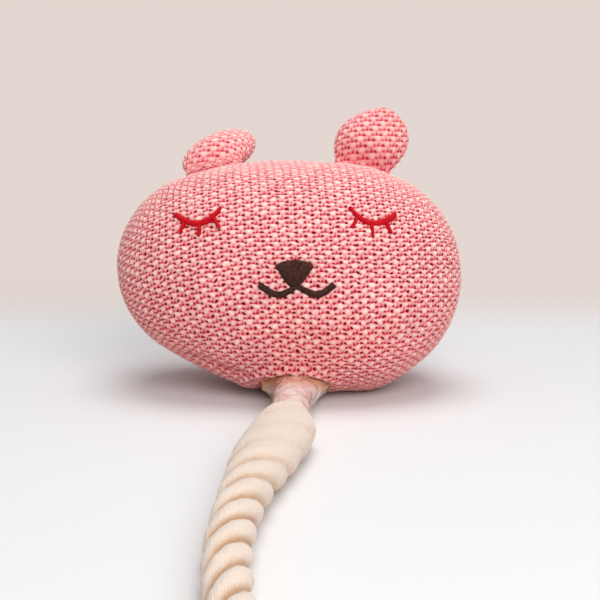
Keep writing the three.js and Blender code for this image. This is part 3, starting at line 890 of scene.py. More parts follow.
@dataclass(frozen=True)
class HeadForm:
    """The plump pillow form that the cover, its fillings and the embroidery follow.

    Attributes:
        height: Overall height before it is tilted.
        outline_power: Squareness of the outline in the front view.
        depth_power: Squareness of the sections through the depth.
        tilt_back: Degrees by which the face looks up.
        sit_flat: How much the flat under the head takes off.
        corners: The uneven lower corners.
        facets: Segments and rings of the solid, which set how it stands.
    """

    width: float = 119.4
    height: float = 80.0
    depth: float = 74.0
    outline_power: float = 2.4
    depth_power: float = 2.3
    tilt_back: float = 10.5
    sit_flat: float = 0.5
    corners: tuple[Corner, ...] = (Corner(-0.125, -139, 28), Corner(0.06, -50, 13))
    facets: tuple[int, int] = (44, 20)

    @property
    def half_depth(self) -> float:
        """Half of the overall depth."""
        return self.depth / 2

    def outline(self, angle: Array) -> Array:
        """Gives the outline's radius in the front view.

        Args:
            angle: Angles up from the right, in radians.

        Returns:
            The radius at each angle.
        """
        across = np.abs(np.cos(angle)) / (self.width / 2)
        up = np.abs(np.sin(angle)) / (self.height / 2)
        oval = (across**self.outline_power + up**self.outline_power) ** (-1 / self.outline_power)
        uneven = np.ones_like(oval)
        for corner in self.corners:
            away = (angle - math.radians(corner.angle) + math.pi) % TURN - math.pi
            uneven += corner.share * bell(away, math.radians(corner.spread))
        return oval * uneven

    def point(self, angle: Array, polar: Array) -> Array:
        """Gives points of the skin in the head's own frame.

        Args:
            angle: Angles up from the right in the front view.
            polar: Angles from the nose towards the back.

        Returns:
            One row for each point.
        """
        power = 2 / self.depth_power
        reach = self.outline(angle) * np.sin(polar) ** power
        facing = np.cos(polar)
        depth = -np.sign(facing) * np.abs(facing) ** power * self.half_depth
        return np.stack([reach * np.cos(angle), depth, reach * np.sin(angle)], -1)

    def level(self, points: Array) -> Array:
        """Gives a number under 1 inside the skin and over 1 outside it, for each point."""
        x, y, z = np.moveaxis(points, -1, 0)
        reach = np.hypot(x, z) / self.outline(np.arctan2(z, x))
        return reach**self.depth_power + (np.abs(y) / self.half_depth) ** self.depth_power

    def normal(self, points: Array) -> Array:
        """Gives the outward direction of the skin at each point."""
        step = 0.02
        slopes = [self.level(points + axis) - self.level(points - axis) for axis in np.eye(3) * step]
        return unit(np.stack(slopes, -1))

    def between(self, outer: Array, inner: Array) -> Array:
        """Finds the skin on a straight line by halving it.

        Args:
            outer: A point outside the skin.
            inner: A point inside it.

        Returns:
            The point on the skin.
        """
        halvings = 40
        low, high = np.array(inner, float), np.array(outer, float)
        for _ in range(halvings):
            middle = (low + high) / 2
            if self.level(middle) > 1:
                high = middle
            else:
                low = middle
        return high

    def on_face(self, x: Array, z: Array, lift: Array | float) -> Array:
        """Gives points lifted over the skin's front, at places right of and above the middle."""
        points = np.stack([x, self.front(x, z), z], -1)
        return points + self.normal(points) * np.asarray(lift)[..., None]

    def front(self, x: Array, z: Array) -> Array:
        """Gives the depth of the skin's front at places right of and above the middle."""
        share = np.minimum(np.hypot(x, z) / self.outline(np.arctan2(z, x)), 1)
        return -self.half_depth * (1 - share**self.depth_power) ** (1 / self.depth_power)

    @cached_property
    def turn(self) -> Array:
        """The rotation from the head's own frame to the row frame."""
        lean = math.radians(self.tilt_back)
        return np.array([
            [1, 0, 0],
            [0, math.cos(lean), math.sin(lean)],
            [0, -math.sin(lean), math.cos(lean)],
        ])

    @cached_property
    def lift(self) -> Array:
        """How far the head's middle stands over the floor."""
        segments, rings = self.facets
        angle, polar = np.meshgrid(
            np.arange(segments) * TURN / segments, np.arange(rings + 1) * math.pi / rings
        )
        skin = self.point(angle.ravel(), np.clip(polar.ravel(), 0, math.pi))
        return np.array([0, 0, -(skin @ self.turn.T)[:, 2].min() - self.sit_flat])

    def to_row(self, points: Array) -> Array:
        """Moves points from the head's own frame to the row frame."""
        return points @ self.turn.T + self.lift

    def to_head(self, points: Array) -> Array:
        """Moves points from the row frame to the head's own frame."""
        return (points - self.lift) @ self.turn


@dataclass(frozen=True)
class Neck:
    """The way out of the head: the film sleeve's axis and the rope's swing pivot.

    Attributes:
        form: The head's form.
        off_centre: How far right of the middle it is.
        rope: The free rope's diameter.
        bound_rope: The rope's diameter where the film binds it.
        wall: The sleeve's wall.
        rim_width: The sleeve's width at the skin.
        reach: How far the sleeve reaches ahead of the skin.
        past_mouth: How far past the sleeve's mouth the rope's pivot is.
        inset: How far the sleeve goes into the head.
    """

    form: HeadForm
    off_centre: float = 1.3
    rope: float = 13.0
    bound_rope: float = 8.8
    wall: float = 0.5
    rim_width: float = 23.0
    mouth_width: float = 12.8
    reach: float = 31.5
    past_mouth: float = 5.0
    inset: float = 6.0

    @property
    def half_height(self) -> float:
        """Half of the sleeve's height."""
        return self.bound_rope / 2 + 2 * FIT_GAP + self.wall

    @cached_property
    def rim_centre(self) -> Array:
        """The middle of the sleeve where it leaves the skin."""
        level = self.half_height + FLOOR_GAP
        ends = np.array([[self.off_centre, -self.form.depth, level], [self.off_centre, 0, level]])
        outer, inner = self.form.to_head(ends)
        return self.form.to_row(self.form.between(outer, inner))

    @cached_property
    def mouth(self) -> Array:
        """The middle of the sleeve's open end."""
        return np.array([self.off_centre, self.rim_centre[1] - self.reach, self.rope / 2 + FLOOR_GAP])

    @cached_property
    def axis(self) -> Array:
        """The direction from the head to the sleeve's mouth."""
        return unit(self.mouth - self.rim_centre)

    @cached_property
    def length(self) -> float:
        """The sleeve's length outside the skin."""
        return float(np.linalg.norm(self.mouth - self.rim_centre))

    @property
    def pivot(self) -> Array:
        """The point round which the rope swings."""
        return self.at(self.length + self.past_mouth)

    def at(self, distance: float) -> Array:
        """The point on the axis at a distance from the skin."""
        return self.rim_centre + self.axis * distance


@dataclass
class KnitHead:
    """The stuffed head's knitted cover.

    A hem gathers round the neck, and a crease with a roll below it runs along the drawn-in corner.

    Attributes:
        form: The head's form.
        neck: The way out for the rope.
        stitch: The knit.
        across: Quads across each half of the cover.
        upright: Quads up each half of the cover.
        batches: Parts that the skin is measured in, to save memory.
        evenness: The power that spreads the quads from the nose to the outline.
        wander: How far columns and rows wander, in stitches.
        uneven: How far single stitches are out of place across and along, in stitches.
        hem_at: Where the hem is highest, in half widths of the neck, as its width is.
        crease: Both ends of the crease, right of and above the middle.
        low_shade: Painted shade low down, as the share of the loops' paleness that is lost there.
        fold_shade: Painted shade in folds: how much of the paleness a fold takes for each millimetre.
    """

    form: HeadForm
    neck: Neck
    stitch: MossStitch = MossStitch()
    across: int = 320
    upright: int = 380
    span_steps: int = 40
    batches: int = 16
    evenness: float = 1.15
    lumps: float = 0.45
    wander: float = 0.16
    uneven: tuple[float, float] = (0.14, 0.224)
    droop: float = 8.7
    droop_at: float = 60.0
    droop_power: float = 2.2
    stretch: float = 0.17
    stretch_over: float = 9.0
    lean: float = 0.08
    drawn_in: float = 9.0e-5
    hem_height: float = 0.8
    hem_rise: float = 0.7
    hem_at: float = 1.32
    hem_width: float = 0.26
    hem_tuck: float = 1.4
    hem_back: float = 14.0
    crease: tuple[tuple[float, float], tuple[float, float]] = ((-39.0, -24.5), (-11.0, -34.5))
    crease_depth: float = 1.0
    crease_width: float = 1.1
    roll_height: float = 0.7
    roll_below: float = 2.6
    roll_width: float = 2.0
    low_shade: float = 0.1
    fold_shade: float = 0.16

    def spans(self, points: Array, axis: int) -> Array:
        """Measures along the skin's front from its middle to each point.

        Args:
            points: Points of the front.
            axis: 0 to measure level across, 2 to measure straight up.

        Returns:
            The distance along the skin, with the sign of the point's side.
        """
        share = np.sin(np.linspace(0, math.pi / 2, self.span_steps + 1))
        x, z = ((points[:, [way]] * (share if way == axis else 1)) for way in (0, 2))
        sides = np.diff(x if axis == 0 else z), np.diff(self.form.front(x, z))
        return np.hypot(*sides).sum(1) * np.sign(points[:, axis])

    def half(self) -> tuple[Array, Array, Array]:
        """Lays a grid over one half of the head.

        Returns:
            The points on the front, and their places across and along the knit's columns.
        """
        s, t = np.meshgrid(np.linspace(-1, 1, self.across + 1), np.linspace(-1, 1, self.upright + 1))
        p, q = s * np.sqrt(1 - t**2 / 2), t * np.sqrt(1 - s**2 / 2)
        share = np.clip(np.hypot(p, q), 0, 1).ravel()
        angle = np.arctan2(self.form.height * q, self.form.width * p).ravel()
        points = self.form.point(angle, math.pi / 2 * share**self.evenness)
        parts = np.array_split(points, self.batches)
        across, along = (np.concatenate([self.spans(part, axis) for part in parts]) for axis in (0, 2))
        return points, *self.laid(across, along)

    def laid(self, across: Array, along: Array) -> tuple[Array, Array]:
        """Lays the knit over the head as the stuffing pulls it.

        The rows droop toward the left, the stitches are stretched low down, and the columns lean a
        little and draw together under the middle.

        Args:
            across: Distances across from the middle, along the skin.
            along: Distances up from the middle, along the skin.

        Returns:
            Places across and along the knit's columns.
        """
        left, low = np.maximum(-across, 0), np.maximum(-along, 0)
        columns = (across * (1 + self.drawn_in * low**2) + self.lean * along) / self.stitch.column
        stretched = along + self.stretch * low**2 / (low + self.stretch_over)
        drooped = self.droop * (left / self.droop_at) ** self.droop_power
        return columns, (stretched + drooped) / self.stitch.row

    def build(self) -> None:
        """Knits the cover and closes it front to back."""
        rows, columns = self.upright + 1, self.across + 1
        front, across, along = self.half()
        number = np.arange(rows * columns).reshape(rows, columns)
        inner = number[1:-1, 1:-1].ravel()
        back_number = number.copy()
        back_number[1:-1, 1:-1] = len(front) + np.arange(len(inner)).reshape(rows - 2, columns - 2)
        skin = np.concatenate([front, front[inner] * [1, -1, 1]])
        across, along = np.concatenate([across, across[inner]]), np.concatenate([along, along[inner]])
        quads = grid_faces(rows, columns)
        faces = [quads, back_number.ravel()[quads][:, ::-1]]
        charts = [
            grid_chart(rows, columns, False, (0.0, 0.0, 0.495, 1.0)),
            grid_chart(rows, columns, False, (0.505, 0.0, 1.0, 1.0))[:, ::-1],
        ]
        uneven_across, uneven_along = self.uneven
        across += self.wander * Ripple(26, seed=11).at(skin) + uneven_across * Ripple(3.6, seed=14).at(skin)
        along += self.wander * Ripple(22, seed=12).at(skin) + uneven_along * Ripple(3.6, seed=15).at(skin)
        heights = self.stitch.relief * (self.stitch.level(across, along) - 0.5)
        swell = self.lumps * Ripple(30, seed=13).at(skin) + self.folds(skin)
        row_points = self.form.to_row(skin + self.form.normal(skin) * (heights + swell)[:, None])
        row_points[:, 2] = self.settled(row_points[:, 2])
        values = dict(zip(KNIT_VALUES, (across, along, self.depth(skin))))
        made = Skin(row_points, faces, charts, values)
        piece = make_piece("head_knit", made.turned_out(), KnitYarn())
        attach(piece, "head")
        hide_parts("head_cover")

    @staticmethod
    def settled(height: Array) -> Array:
        """Flattens what the head sits on, and keeps it over the floor."""
        soft = 0.6
        return np.where(height < soft, soft * np.exp(np.minimum(height, soft) / soft - 1), height)

    def folds(self, skin: Array) -> Array:
        """Gives the hem round the neck and the crease at the drawn-in corner.

        Args:
            skin: Points of the skin in the head's own frame.

        Returns:
            How far each point stands out or in.
        """
        arm = self.form.to_row(skin) - self.neck.rim_centre
        oval = np.hypot(2 * arm[:, 0] / self.neck.rim_width, arm[:, 2] / self.neck.half_height)
        height = self.hem_height + self.hem_rise * smooth_step(arm[:, 2], -1.0, 5.0)
        hem = height * bell(oval - self.hem_at, self.hem_width) - self.hem_tuck * np.exp(-(oval**6))
        start, end = np.array(self.crease)
        length = np.linalg.norm(end - start)
        way = (end - start) / length
        from_start = skin[:, [0, 2]] - start
        share = from_start @ way / length
        off_line = from_start @ np.array([-way[1], way[0]])
        fade = smooth_step(share, -0.1, 0.35) * smooth_step(-share, -1.15, -0.8) * (skin[:, 1] < 0)
        roll = self.roll_height * bell(off_line + self.roll_below, self.roll_width)
        crease = fade * (roll - self.crease_depth * bell(off_line, self.crease_width))
        return np.where(arm[:, 1] < self.hem_back, hem, 0) + crease

    def depth(self, skin: Array) -> Array:
        """Gives how much of the loops' paleness painted shade leaves: less low down, in the crease and at the
        neck.
        """
        low = smooth_step(-skin[:, 2], 2.0, 34.0)
        return 1 - self.low_shade * low + self.fold_shade * np.minimum(self.folds(skin), 0)


@dataclass
class KnitEar:
    """A knitted petal ear, sewn on flat at its base.

    Attributes:
        form: The head's form.
        side: The side that it is on.
        fold: Degrees by which it is folded back.
        sweep: How far its tip leans along its hinge line.
        knit_turn: Degrees by which its columns lean.
        pale: How pale its loops are, as a share of the yarn's own paleness.
        seam: Its thickness at the seam.
        root: How far it goes on under the seam.
        uneven: How far single stitches are out of place, in stitches.
        seam_relief: How much of the stitches' relief is left at the seam.
        seam_pale: Painted shade at the seam: how much of their paleness is left there, and under it.
    """

    form: HeadForm
    side: Side
    fold: float
    sweep: float
    knit_turn: float
    pale: float = 1.0
    length: float = 22.5
    width: float = 25.0
    base_width: float = 20.0
    thickness: float = 13.0
    seam: float = 3.8
    widest_at: float = 9.0
    root: float = 4.5
    off_centre: float = 26.0
    set_back: float = 6.0
    yarn: KnitYarn = CLOSE_YARN
    uneven: float = 0.09
    seam_relief: float = 0.25
    seam_pale: tuple[float, float] = (0.78, 0.7)
    around: int = 150
    low_rows: int = 52
    high_rows: int = 66

    @cached_property
    def basis(self) -> tuple[Array, Array]:
        """The hinge point and the ear's own axes as columns, both in the row frame."""
        top = np.array([self.side.value * self.off_centre, self.set_back, self.form.height])
        foot = self.form.between(top, top * [1, 1, 0])
        normal = self.form.normal(foot)
        hinge = unit(np.array([1.0, 0, 0]) - normal * normal[0])
        standing = unit(np.array([0, 0, 1.0]) - hinge * hinge[2])
        backward = np.cross(standing, hinge)
        lean = math.radians(self.fold)
        folded_back = backward * math.cos(lean) - standing * math.sin(lean)
        folded_up = backward * math.sin(lean) + standing * math.cos(lean)
        axes = np.stack([hinge, folded_back, folded_up], -1)
        origin = foot + normal * (self.seam / 2 + FIT_GAP)
        return self.form.to_row(origin), self.form.turn @ axes

    def sections(self) -> tuple[Array, Array, Array, Array]:
        """Gives the ear's rings from its root to its tip.

        Returns:
            Heights, half widths, half thicknesses and sideways sweeps.
        """
        low = np.linspace(-self.root, self.widest_at, self.low_rows)
        turn = np.linspace(0, math.pi / 2, self.high_rows + 1)[1:-1]
        high = np.concatenate([np.zeros_like(low), np.sin(turn)])
        height = np.concatenate([low, self.widest_at + (self.length - self.widest_at) * np.sin(turn)])
        swell = np.sin(np.clip(height / self.widest_at, 0, 1) * math.pi / 2)
        half_width = (self.base_width + (self.width - self.base_width) * swell) / 2
        half_thick = (self.seam + (self.thickness - self.seam) * swell) / 2
        middle = self.sweep * np.clip(height / self.length, 0, 1) ** 1.3
        return height, half_width * (1 - high**2) ** 0.75, half_thick * (1 - high**2) ** 0.6, middle

    def skin(self) -> Skin:
        """Knits the ear in its own frame, upright from its hinge.

        Returns:
            The ear's skin.
        """
        stitch = self.yarn.stitch
        height, half_width, half_thick, middle = (part[:, None] for part in self.sections())
        angle = np.arange(self.around) * TURN / self.around
        x = middle + half_width * np.cos(angle)
        z = np.broadcast_to(height, x.shape)
        ring = np.stack([x, half_thick * np.sin(angle), z], -1)
        out = unit(np.cross(np.roll(ring, -1, 1) - np.roll(ring, 1, 1), np.gradient(ring, axis=0)))
        from_front = np.abs((angle + 1.5 * math.pi) % TURN - math.pi)
        from_middle = np.sign(np.cos(angle)) * np.minimum(from_front, math.pi - from_front)
        over = middle + from_middle * np.sqrt((half_width**2 + half_thick**2) / 2)
        lean = math.radians(self.knit_turn)
        across = (over * math.cos(lean) - z * math.sin(lean)) / stitch.column
        along = (over * math.sin(lean) + z * math.cos(lean)) / stitch.row
        across += self.uneven * Ripple(4.0, seed=16).at(ring.reshape(-1, 3)).reshape(x.shape)
        relief = self.seam_relief + (1 - self.seam_relief) * smooth_step(z, -1.0, 3.0)
        heights = stitch.relief * (stitch.level(across, along) - 0.5) * relief
        ends = [[0, 0, -self.root], [middle[-1, 0], 0, self.length + 0.1]]
        points = np.concatenate([(ring + out * heights[..., None]).reshape(-1, 3), ends])
        # Painted shade darkens the ear's loops towards its seam and under it
        at_seam, under_seam = self.seam_pale
        depth = self.pale * (at_seam + (1 - at_seam) * smooth_step(z, -2.0, 7.0))
        rows, end_values = len(height), ([0, 0], [0, self.length / stitch.row], [under_seam, 1])
        values = {
            name: np.concatenate([inner.ravel(), ends])
            for name, inner, ends in zip(KNIT_VALUES, (across, along, depth), end_values)
        }
        return Skin(points, tube_faces(rows, self.around), tube_charts(rows, self.around), values)

    def build(self) -> None:
        """Sews the ear on at its hinge."""
        origin, axes = self.basis
        skin = self.skin()
        skin.points = skin.points @ axes.T + origin
        piece = make_piece(f"ear_{self.side.word}_knit", skin.turned_out(), self.yarn)
        rise = axes[:, 2]
        tuple((origin - 2.4 * rise) * MM)
        tuple((origin + 5.5 * rise) * MM)
        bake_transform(piece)
        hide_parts(f"ear_{self.side.word}_cover")


# Embroidery


@dataclass(frozen=True)
class SatinStitch:
    """Satin stitch: threads laid side by side across a line or a shape.

    Attributes:
        thread: A thread's diameter.
        pitch: The distance between threads.
        low: How deep their ends sink, from the skin.
        slant: How far a thread runs ahead from edge to edge, in widths.
        sides: Corners of a thread's section.
        steps: Points along a thread.
        pad_sink: How far the padding under a line lies below its threads.
        pad_radius: The padding's radius, in widths of the line.
        pad_sides: Corners of the padding's section.
    """

    thread: float = 0.4
    pitch: float = 0.3
    low: float = -0.15
    slant: float = 0.35
    sides: int = 6
    steps: int = 9
    pad_sink: float = 0.45
    pad_radius: float = 0.42
    pad_sides: int = 8

    def strand(self, form: HeadForm, ends: Array, crown: float) -> Skin:
        """Lays one thread over the face.

        Args:
            form: The head's form.
            ends: Its two ends, right of and above the middle.
            crown: Its height over the skin at its middle.

        Returns:
            The thread's skin in the row frame.
        """
        share = np.linspace(-1, 1, self.steps)
        spots = ends[0] + (share[:, None] + 1) / 2 * (ends[1] - ends[0])
        lift = self.low + (crown - self.low) * (1 - np.abs(share) ** 3)
        path = form.to_row(form.on_face(spots[:, 0], spots[:, 1], lift))
        return tube(path, np.full(len(path), self.thread / 2), self.sides)

    def line(self, form: HeadForm, knots: Array, widths: Array, crown: float) -> list[Skin]:
        """Sews a line.

        Args:
            form: The head's form.
            knots: Points of the line, right of and above the middle.
            widths: The line's width at each of them.
            crown: The threads' height over the skin.

        Returns:
            The skins of its threads and of the padding under them.
        """
        flat = np.column_stack([knots[:, 0], np.zeros(len(knots)), knots[:, 1]])
        curve = spline(flat, self.pitch)[:, [0, 2]]
        share = np.linspace(0, 1, len(curve))
        width = np.interp(share, np.linspace(0, 1, len(widths)), widths)
        along = unit(np.gradient(curve, axis=0))
        normal = np.stack([-along[:, 1], along[:, 0]], -1)
        reach = (normal + self.slant * along) * width[:, None] / 2
        threads = [
            self.strand(form, np.stack([spot - half, spot + half]), crown)
            for spot, half in zip(curve, reach)
        ]
        sunk = crown - self.pad_sink - width / 4
        path = form.to_row(form.on_face(curve[:, 0], curve[:, 1], sunk))
        return [*threads, tube(path, width * self.pad_radius, self.pad_sides)]


@dataclass
class Face:
    """The embroidered face: closed lids with lashes, a nose and a mouth.

    Places are right of and above the head's middle, pairs are for the left and the right side, and
    the widths of a line run along it.

    Attributes:
        form: The head's form.
        stitch: The stitch that draws it.
        lashes: Where each lash is on its lid, in half widths, and the degrees by which it fans out.
        lash_shares: The points that a lash runs through, in lash lengths.
        nose_layers: Stitch, number of threads and crown of the nose's padding and of its top.
        nose_arch: How far the nose's top edge drops at both ends, and its height in the middle.
        nose_taper: How much shorter the outer threads are, and the power that this grows by.
        mouth_sags: The power that moves each line's lowest place outward.
        crown: Height of the threads over the skin.
    """

    form: HeadForm
    stitch: SatinStitch = SatinStitch()
    eyes_off_centre: tuple[float, float] = (29.7, 28.4)
    eye_height: float = 21.4
    lid_width: float = 15.3
    lid_sag: float = 4.0
    lid_slant: float = 8.0
    lid_widths: tuple[float, ...] = (1.0, 1.5, 1.8, 1.9, 1.8, 1.8)
    lash_length: float = 4.1
    lash_widths: tuple[float, ...] = (1.3, 1.15, 1.05)
    lashes: tuple[tuple[float, float], ...] = ((-0.62, -28), (0.0, 5), (0.62, 22))
    lash_shares: tuple[float, ...] = (0.1, 0.4, 0.7, 1.05)
    lash_sink: float = 0.2
    nose_off_centre: float = 2.3
    nose_top: float = 4.7
    nose_width: float = 11.8
    nose_height: float = 9.0
    nose_layers: tuple[tuple[SatinStitch, int, float], ...] = (
        (SatinStitch(thread=1.1, low=-0.4), 13, 0.55),
        (SatinStitch(thread=0.46, low=0.3), 40, 1.25),
    )
    nose_arch: tuple[float, float] = (1.7, 0.4)
    nose_taper: tuple[float, float] = (6.6, 1.6)
    nose_lean: float = 0.93
    mouth_off_centre: float = 2.9
    mouth_spans: tuple[float, float] = (11.9, 12.3)
    mouth_sags: tuple[float, float] = (1.05, 1.3)
    mouth_drop: float = 8.4
    mouth_sag: float = 2.8
    mouth_lift: float = 0.6
    mouth_widths: tuple[float, ...] = (1.5, 1.9, 2.2, 2.3, 2.1, 2.2)
    crown: float = 1.05

    def eye(self, side: Side) -> None:
        """Sews a closed lid with its lashes.

        Args:
            side: The side that it is on.
        """
        slant = math.radians(self.lid_slant)
        sign = side.value
        off_centre = self.eyes_off_centre[sign > 0]

        def lid_point(along: float) -> list[float]:
            """Gives the lid's line at a share of its half width."""
            x, z = along * self.lid_width / 2, -self.lid_sag * (1 - along**2)
            return [
                sign * (off_centre + x * math.cos(slant) + z * math.sin(slant)),
                self.eye_height - x * math.sin(slant) + z * math.cos(slant),
            ]

        knots = np.array([lid_point(along) for along in np.linspace(-1, 1, 13)])
        skins = self.stitch.line(self.form, knots, np.array(self.lid_widths), self.crown)
        for along, fan in self.lashes:
            root = np.array(lid_point(along))
            lean = math.radians(fan)
            way = np.array([sign * math.sin(lean), -math.cos(lean)])
            path = root + way * self.lash_length * np.array(self.lash_shares)[:, None]
            widths, crown = np.array(self.lash_widths), self.crown - self.lash_sink
            skins += self.stitch.line(self.form, path, widths, crown)
        self.sewn(f"eye_{side.word}", skins, RED_THREAD, "red_thread")

    def nose(self) -> None:
        """Sews the nose: a rounded triangle, point down, in fanned threads."""
        half = self.nose_width / 2
        edge = 0.98
        arch, over = self.nose_arch
        taper, power = self.nose_taper
        skins = []
        for stitch, count, crown in self.nose_layers:
            for share in np.linspace(-edge, edge, count):
                top = self.nose_top + over - arch * share**2
                drop = self.nose_height - taper * abs(share) ** power
                x = self.nose_off_centre + share * half * np.array([1.0, self.nose_lean])
                ends = np.stack([x, [top, self.nose_top - drop]], -1)
                skins.append(stitch.strand(self.form, ends, crown))
        self.sewn("nose", skins, BROWN_THREAD, "brown_thread")

    def mouth(self) -> None:
        """Sews the mouth: two sagging lines that meet under the nose."""
        start = self.nose_top - self.mouth_drop
        skins = []
        share = np.linspace(0, 1, 11)
        for side, span, late in zip(Side, self.mouth_spans, self.mouth_sags):
            knots = np.stack([
                self.mouth_off_centre + side.value * span * share,
                start - self.mouth_sag * np.sin(math.pi * share**late) + self.mouth_lift * share,
            ], -1)
            skins += self.stitch.line(self.form, knots, np.array(self.mouth_widths), self.crown)
        self.sewn("mouth", skins, BROWN_THREAD, "brown_thread")

    @staticmethod
    def sewn(node: str, skins: list[Skin], finish: Finish, slot: str) -> None:
        """Makes one piece of sewn threads.

        Args:
            node: The solid that it stands for.
            skins: The skins of its threads.
            finish: The thread.
            slot: The record's material slot, which is not used.
        """
        piece = make_piece(f"{node}_stitching", Skin.joined(skins), finish)
        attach(piece, "head")
        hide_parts(node)

    def build(self) -> None:
        """Sews both eyes, the nose and the mouth."""
        for side in Side:
            self.eye(side)
        self.nose()
        self.mouth()


# Rope, film and knots


@dataclass(frozen=True)
class LaidRope:
    """Three strands laid to the right, with yarns that run along the rope.

    Attributes:
        lay: The length of one full turn of a strand.
        strand_at: How far a strand's middle is from the rope's, in diameters.
        strand_radius: A strand's radius, in diameters.
        crowns: Radii at which the grooves end and the crowns begin, in diameters.
        apart: Radius in diameters, and relief, where the strands have come apart.
        yarn_turn: How far the yarns turn with the strands, as a share.
        rough: Height and size of the fibres' roughness and of the strands' lumps.
        around: Points round the rope.
        spacing: Distance between rings of points.
    """

    diameter: float = 13.0
    lay: float = 50.0
    strands: int = 3
    strand_at: float = 0.19
    strand_radius: float = 0.31
    crowns: tuple[float, float] = (0.36, 0.48)
    apart: tuple[float, float] = (0.485, 0.92)
    yarns: int = 48
    yarn_relief: float = 0.13
    yarn_turn: float = 0.12
    rough: tuple[tuple[float, float], ...] = ((0.1, 1.7), (0.22, 7.0))
    around: int = 168
    spacing: float = 0.85

    def section(self, turn: Array) -> tuple[Array, Array]:
        """Gives the rope's section.

        Args:
            turn: Angles from the middle of a strand.

        Returns:
            Radii in diameters, and the strand's relief from 0 to 1.
        """
        sector = TURN / self.strands
        away = (turn + sector / 2) % sector - sector / 2
        half = np.sqrt(self.strand_radius**2 - (self.strand_at * np.sin(away)) ** 2)
        radius = self.strand_at * np.cos(away) + half
        return radius, smooth_step(radius, *self.crowns)

    def sweep(
        self,
        path: Array,
        girth: Callable[[Array], Array],
        seed: int,
        closed: bool = False,
        phase: float = 0.0,
        loose: Callable[[Array], Array] = np.zeros_like,
    ) -> Skin:
        """Lays the rope along a path.

        Args:
            path: Evenly spaced points of the path.
            girth: Gives the rope's diameter at distances along the path.
            seed: The seed of its unevenness.
            closed: Whether the path's end joins its start.
            phase: The strands' turn at the start.
            loose: Gives how far the strands have come apart, from 0 to 1.

        Returns:
            The rope's skin.
        """
        run = run_along(path)
        first, second = frames_along(path)
        gap = math.atan2(float(first[-1] @ second[0]), float(first[-1] @ first[0]))
        twist = TURN * run / self.lay + phase
        if closed:
            sector = TURN / self.strands
            over = (twist[-1] - phase - gap) % sector
            twist -= run / run[-1] * (over if over < sector / 2 else over - sector)
        angle = np.arange(self.around) * TURN / self.around
        share = loose(run)[:, None]
        radius, crown = (
            tight + (open_end - tight) * share
            for tight, open_end in zip(self.section(angle - twist[:, None]), self.apart)
        )
        yarn = np.abs(np.sin(self.yarns / 2 * (angle - self.yarn_turn * twist[:, None])))
        ridge = self.yarn_relief * (yarn - 0.6) * np.clip(crown + 0.3, 0, 1)
        ring = rings(first, second, angle)
        reach = radius * girth(run)[:, None] + ridge
        points = (path[:, None] + reach[..., None] * ring).reshape(-1, 3)
        uneven = [
            height * Ripple(size, seed + place).at(points) for place, (height, size) in enumerate(self.rough)
        ]
        points = points + sum(uneven)[:, None] * ring.reshape(-1, 3)
        # The relief sets the painted shade: darker in the grooves and between the yarns
        relief = np.clip(crown * (0.7 + 0.35 * yarn), 0, 1).ravel()
        if closed:
            return self.ring_skin(points[:-self.around], relief[:-self.around], gap)
        faces, charts = (make(len(path), self.around) for make in (tube_faces, tube_charts))
        points = np.concatenate([points, path[[0, -1]]])
        return Skin(points, faces, charts, {"relief": np.append(relief, [0.4, 0.4])}).turned_out()

    def ring_skin(self, points: Array, relief: Array, gap: float) -> Skin:
        """Closes a rope on itself, with its last ring turned to meet its first.

        Args:
            points: The points of its rings.
            relief: The strands' relief at each of them.
            gap: The turn from its last ring to its first.

        Returns:
            The closed skin.
        """
        number = np.arange(len(points)).reshape(-1, self.around)
        last, start = number[-1], np.roll(number[0], -int(round(gap / TURN * self.around)))
        seam = np.stack([last, np.roll(last, -1), np.roll(start, -1), start], -1)
        charts = [
            grid_chart(len(number), self.around, True, (0.0, 0.0, 1.0, 0.99)),
            grid_chart(2, self.around, True, (0.0, 0.99, 1.0, 1.0)),
        ]
        faces = [grid_faces(len(number), self.around, wrap=True), seam]
        return Skin(points, faces, charts, {"relief": relief}).turned_out()


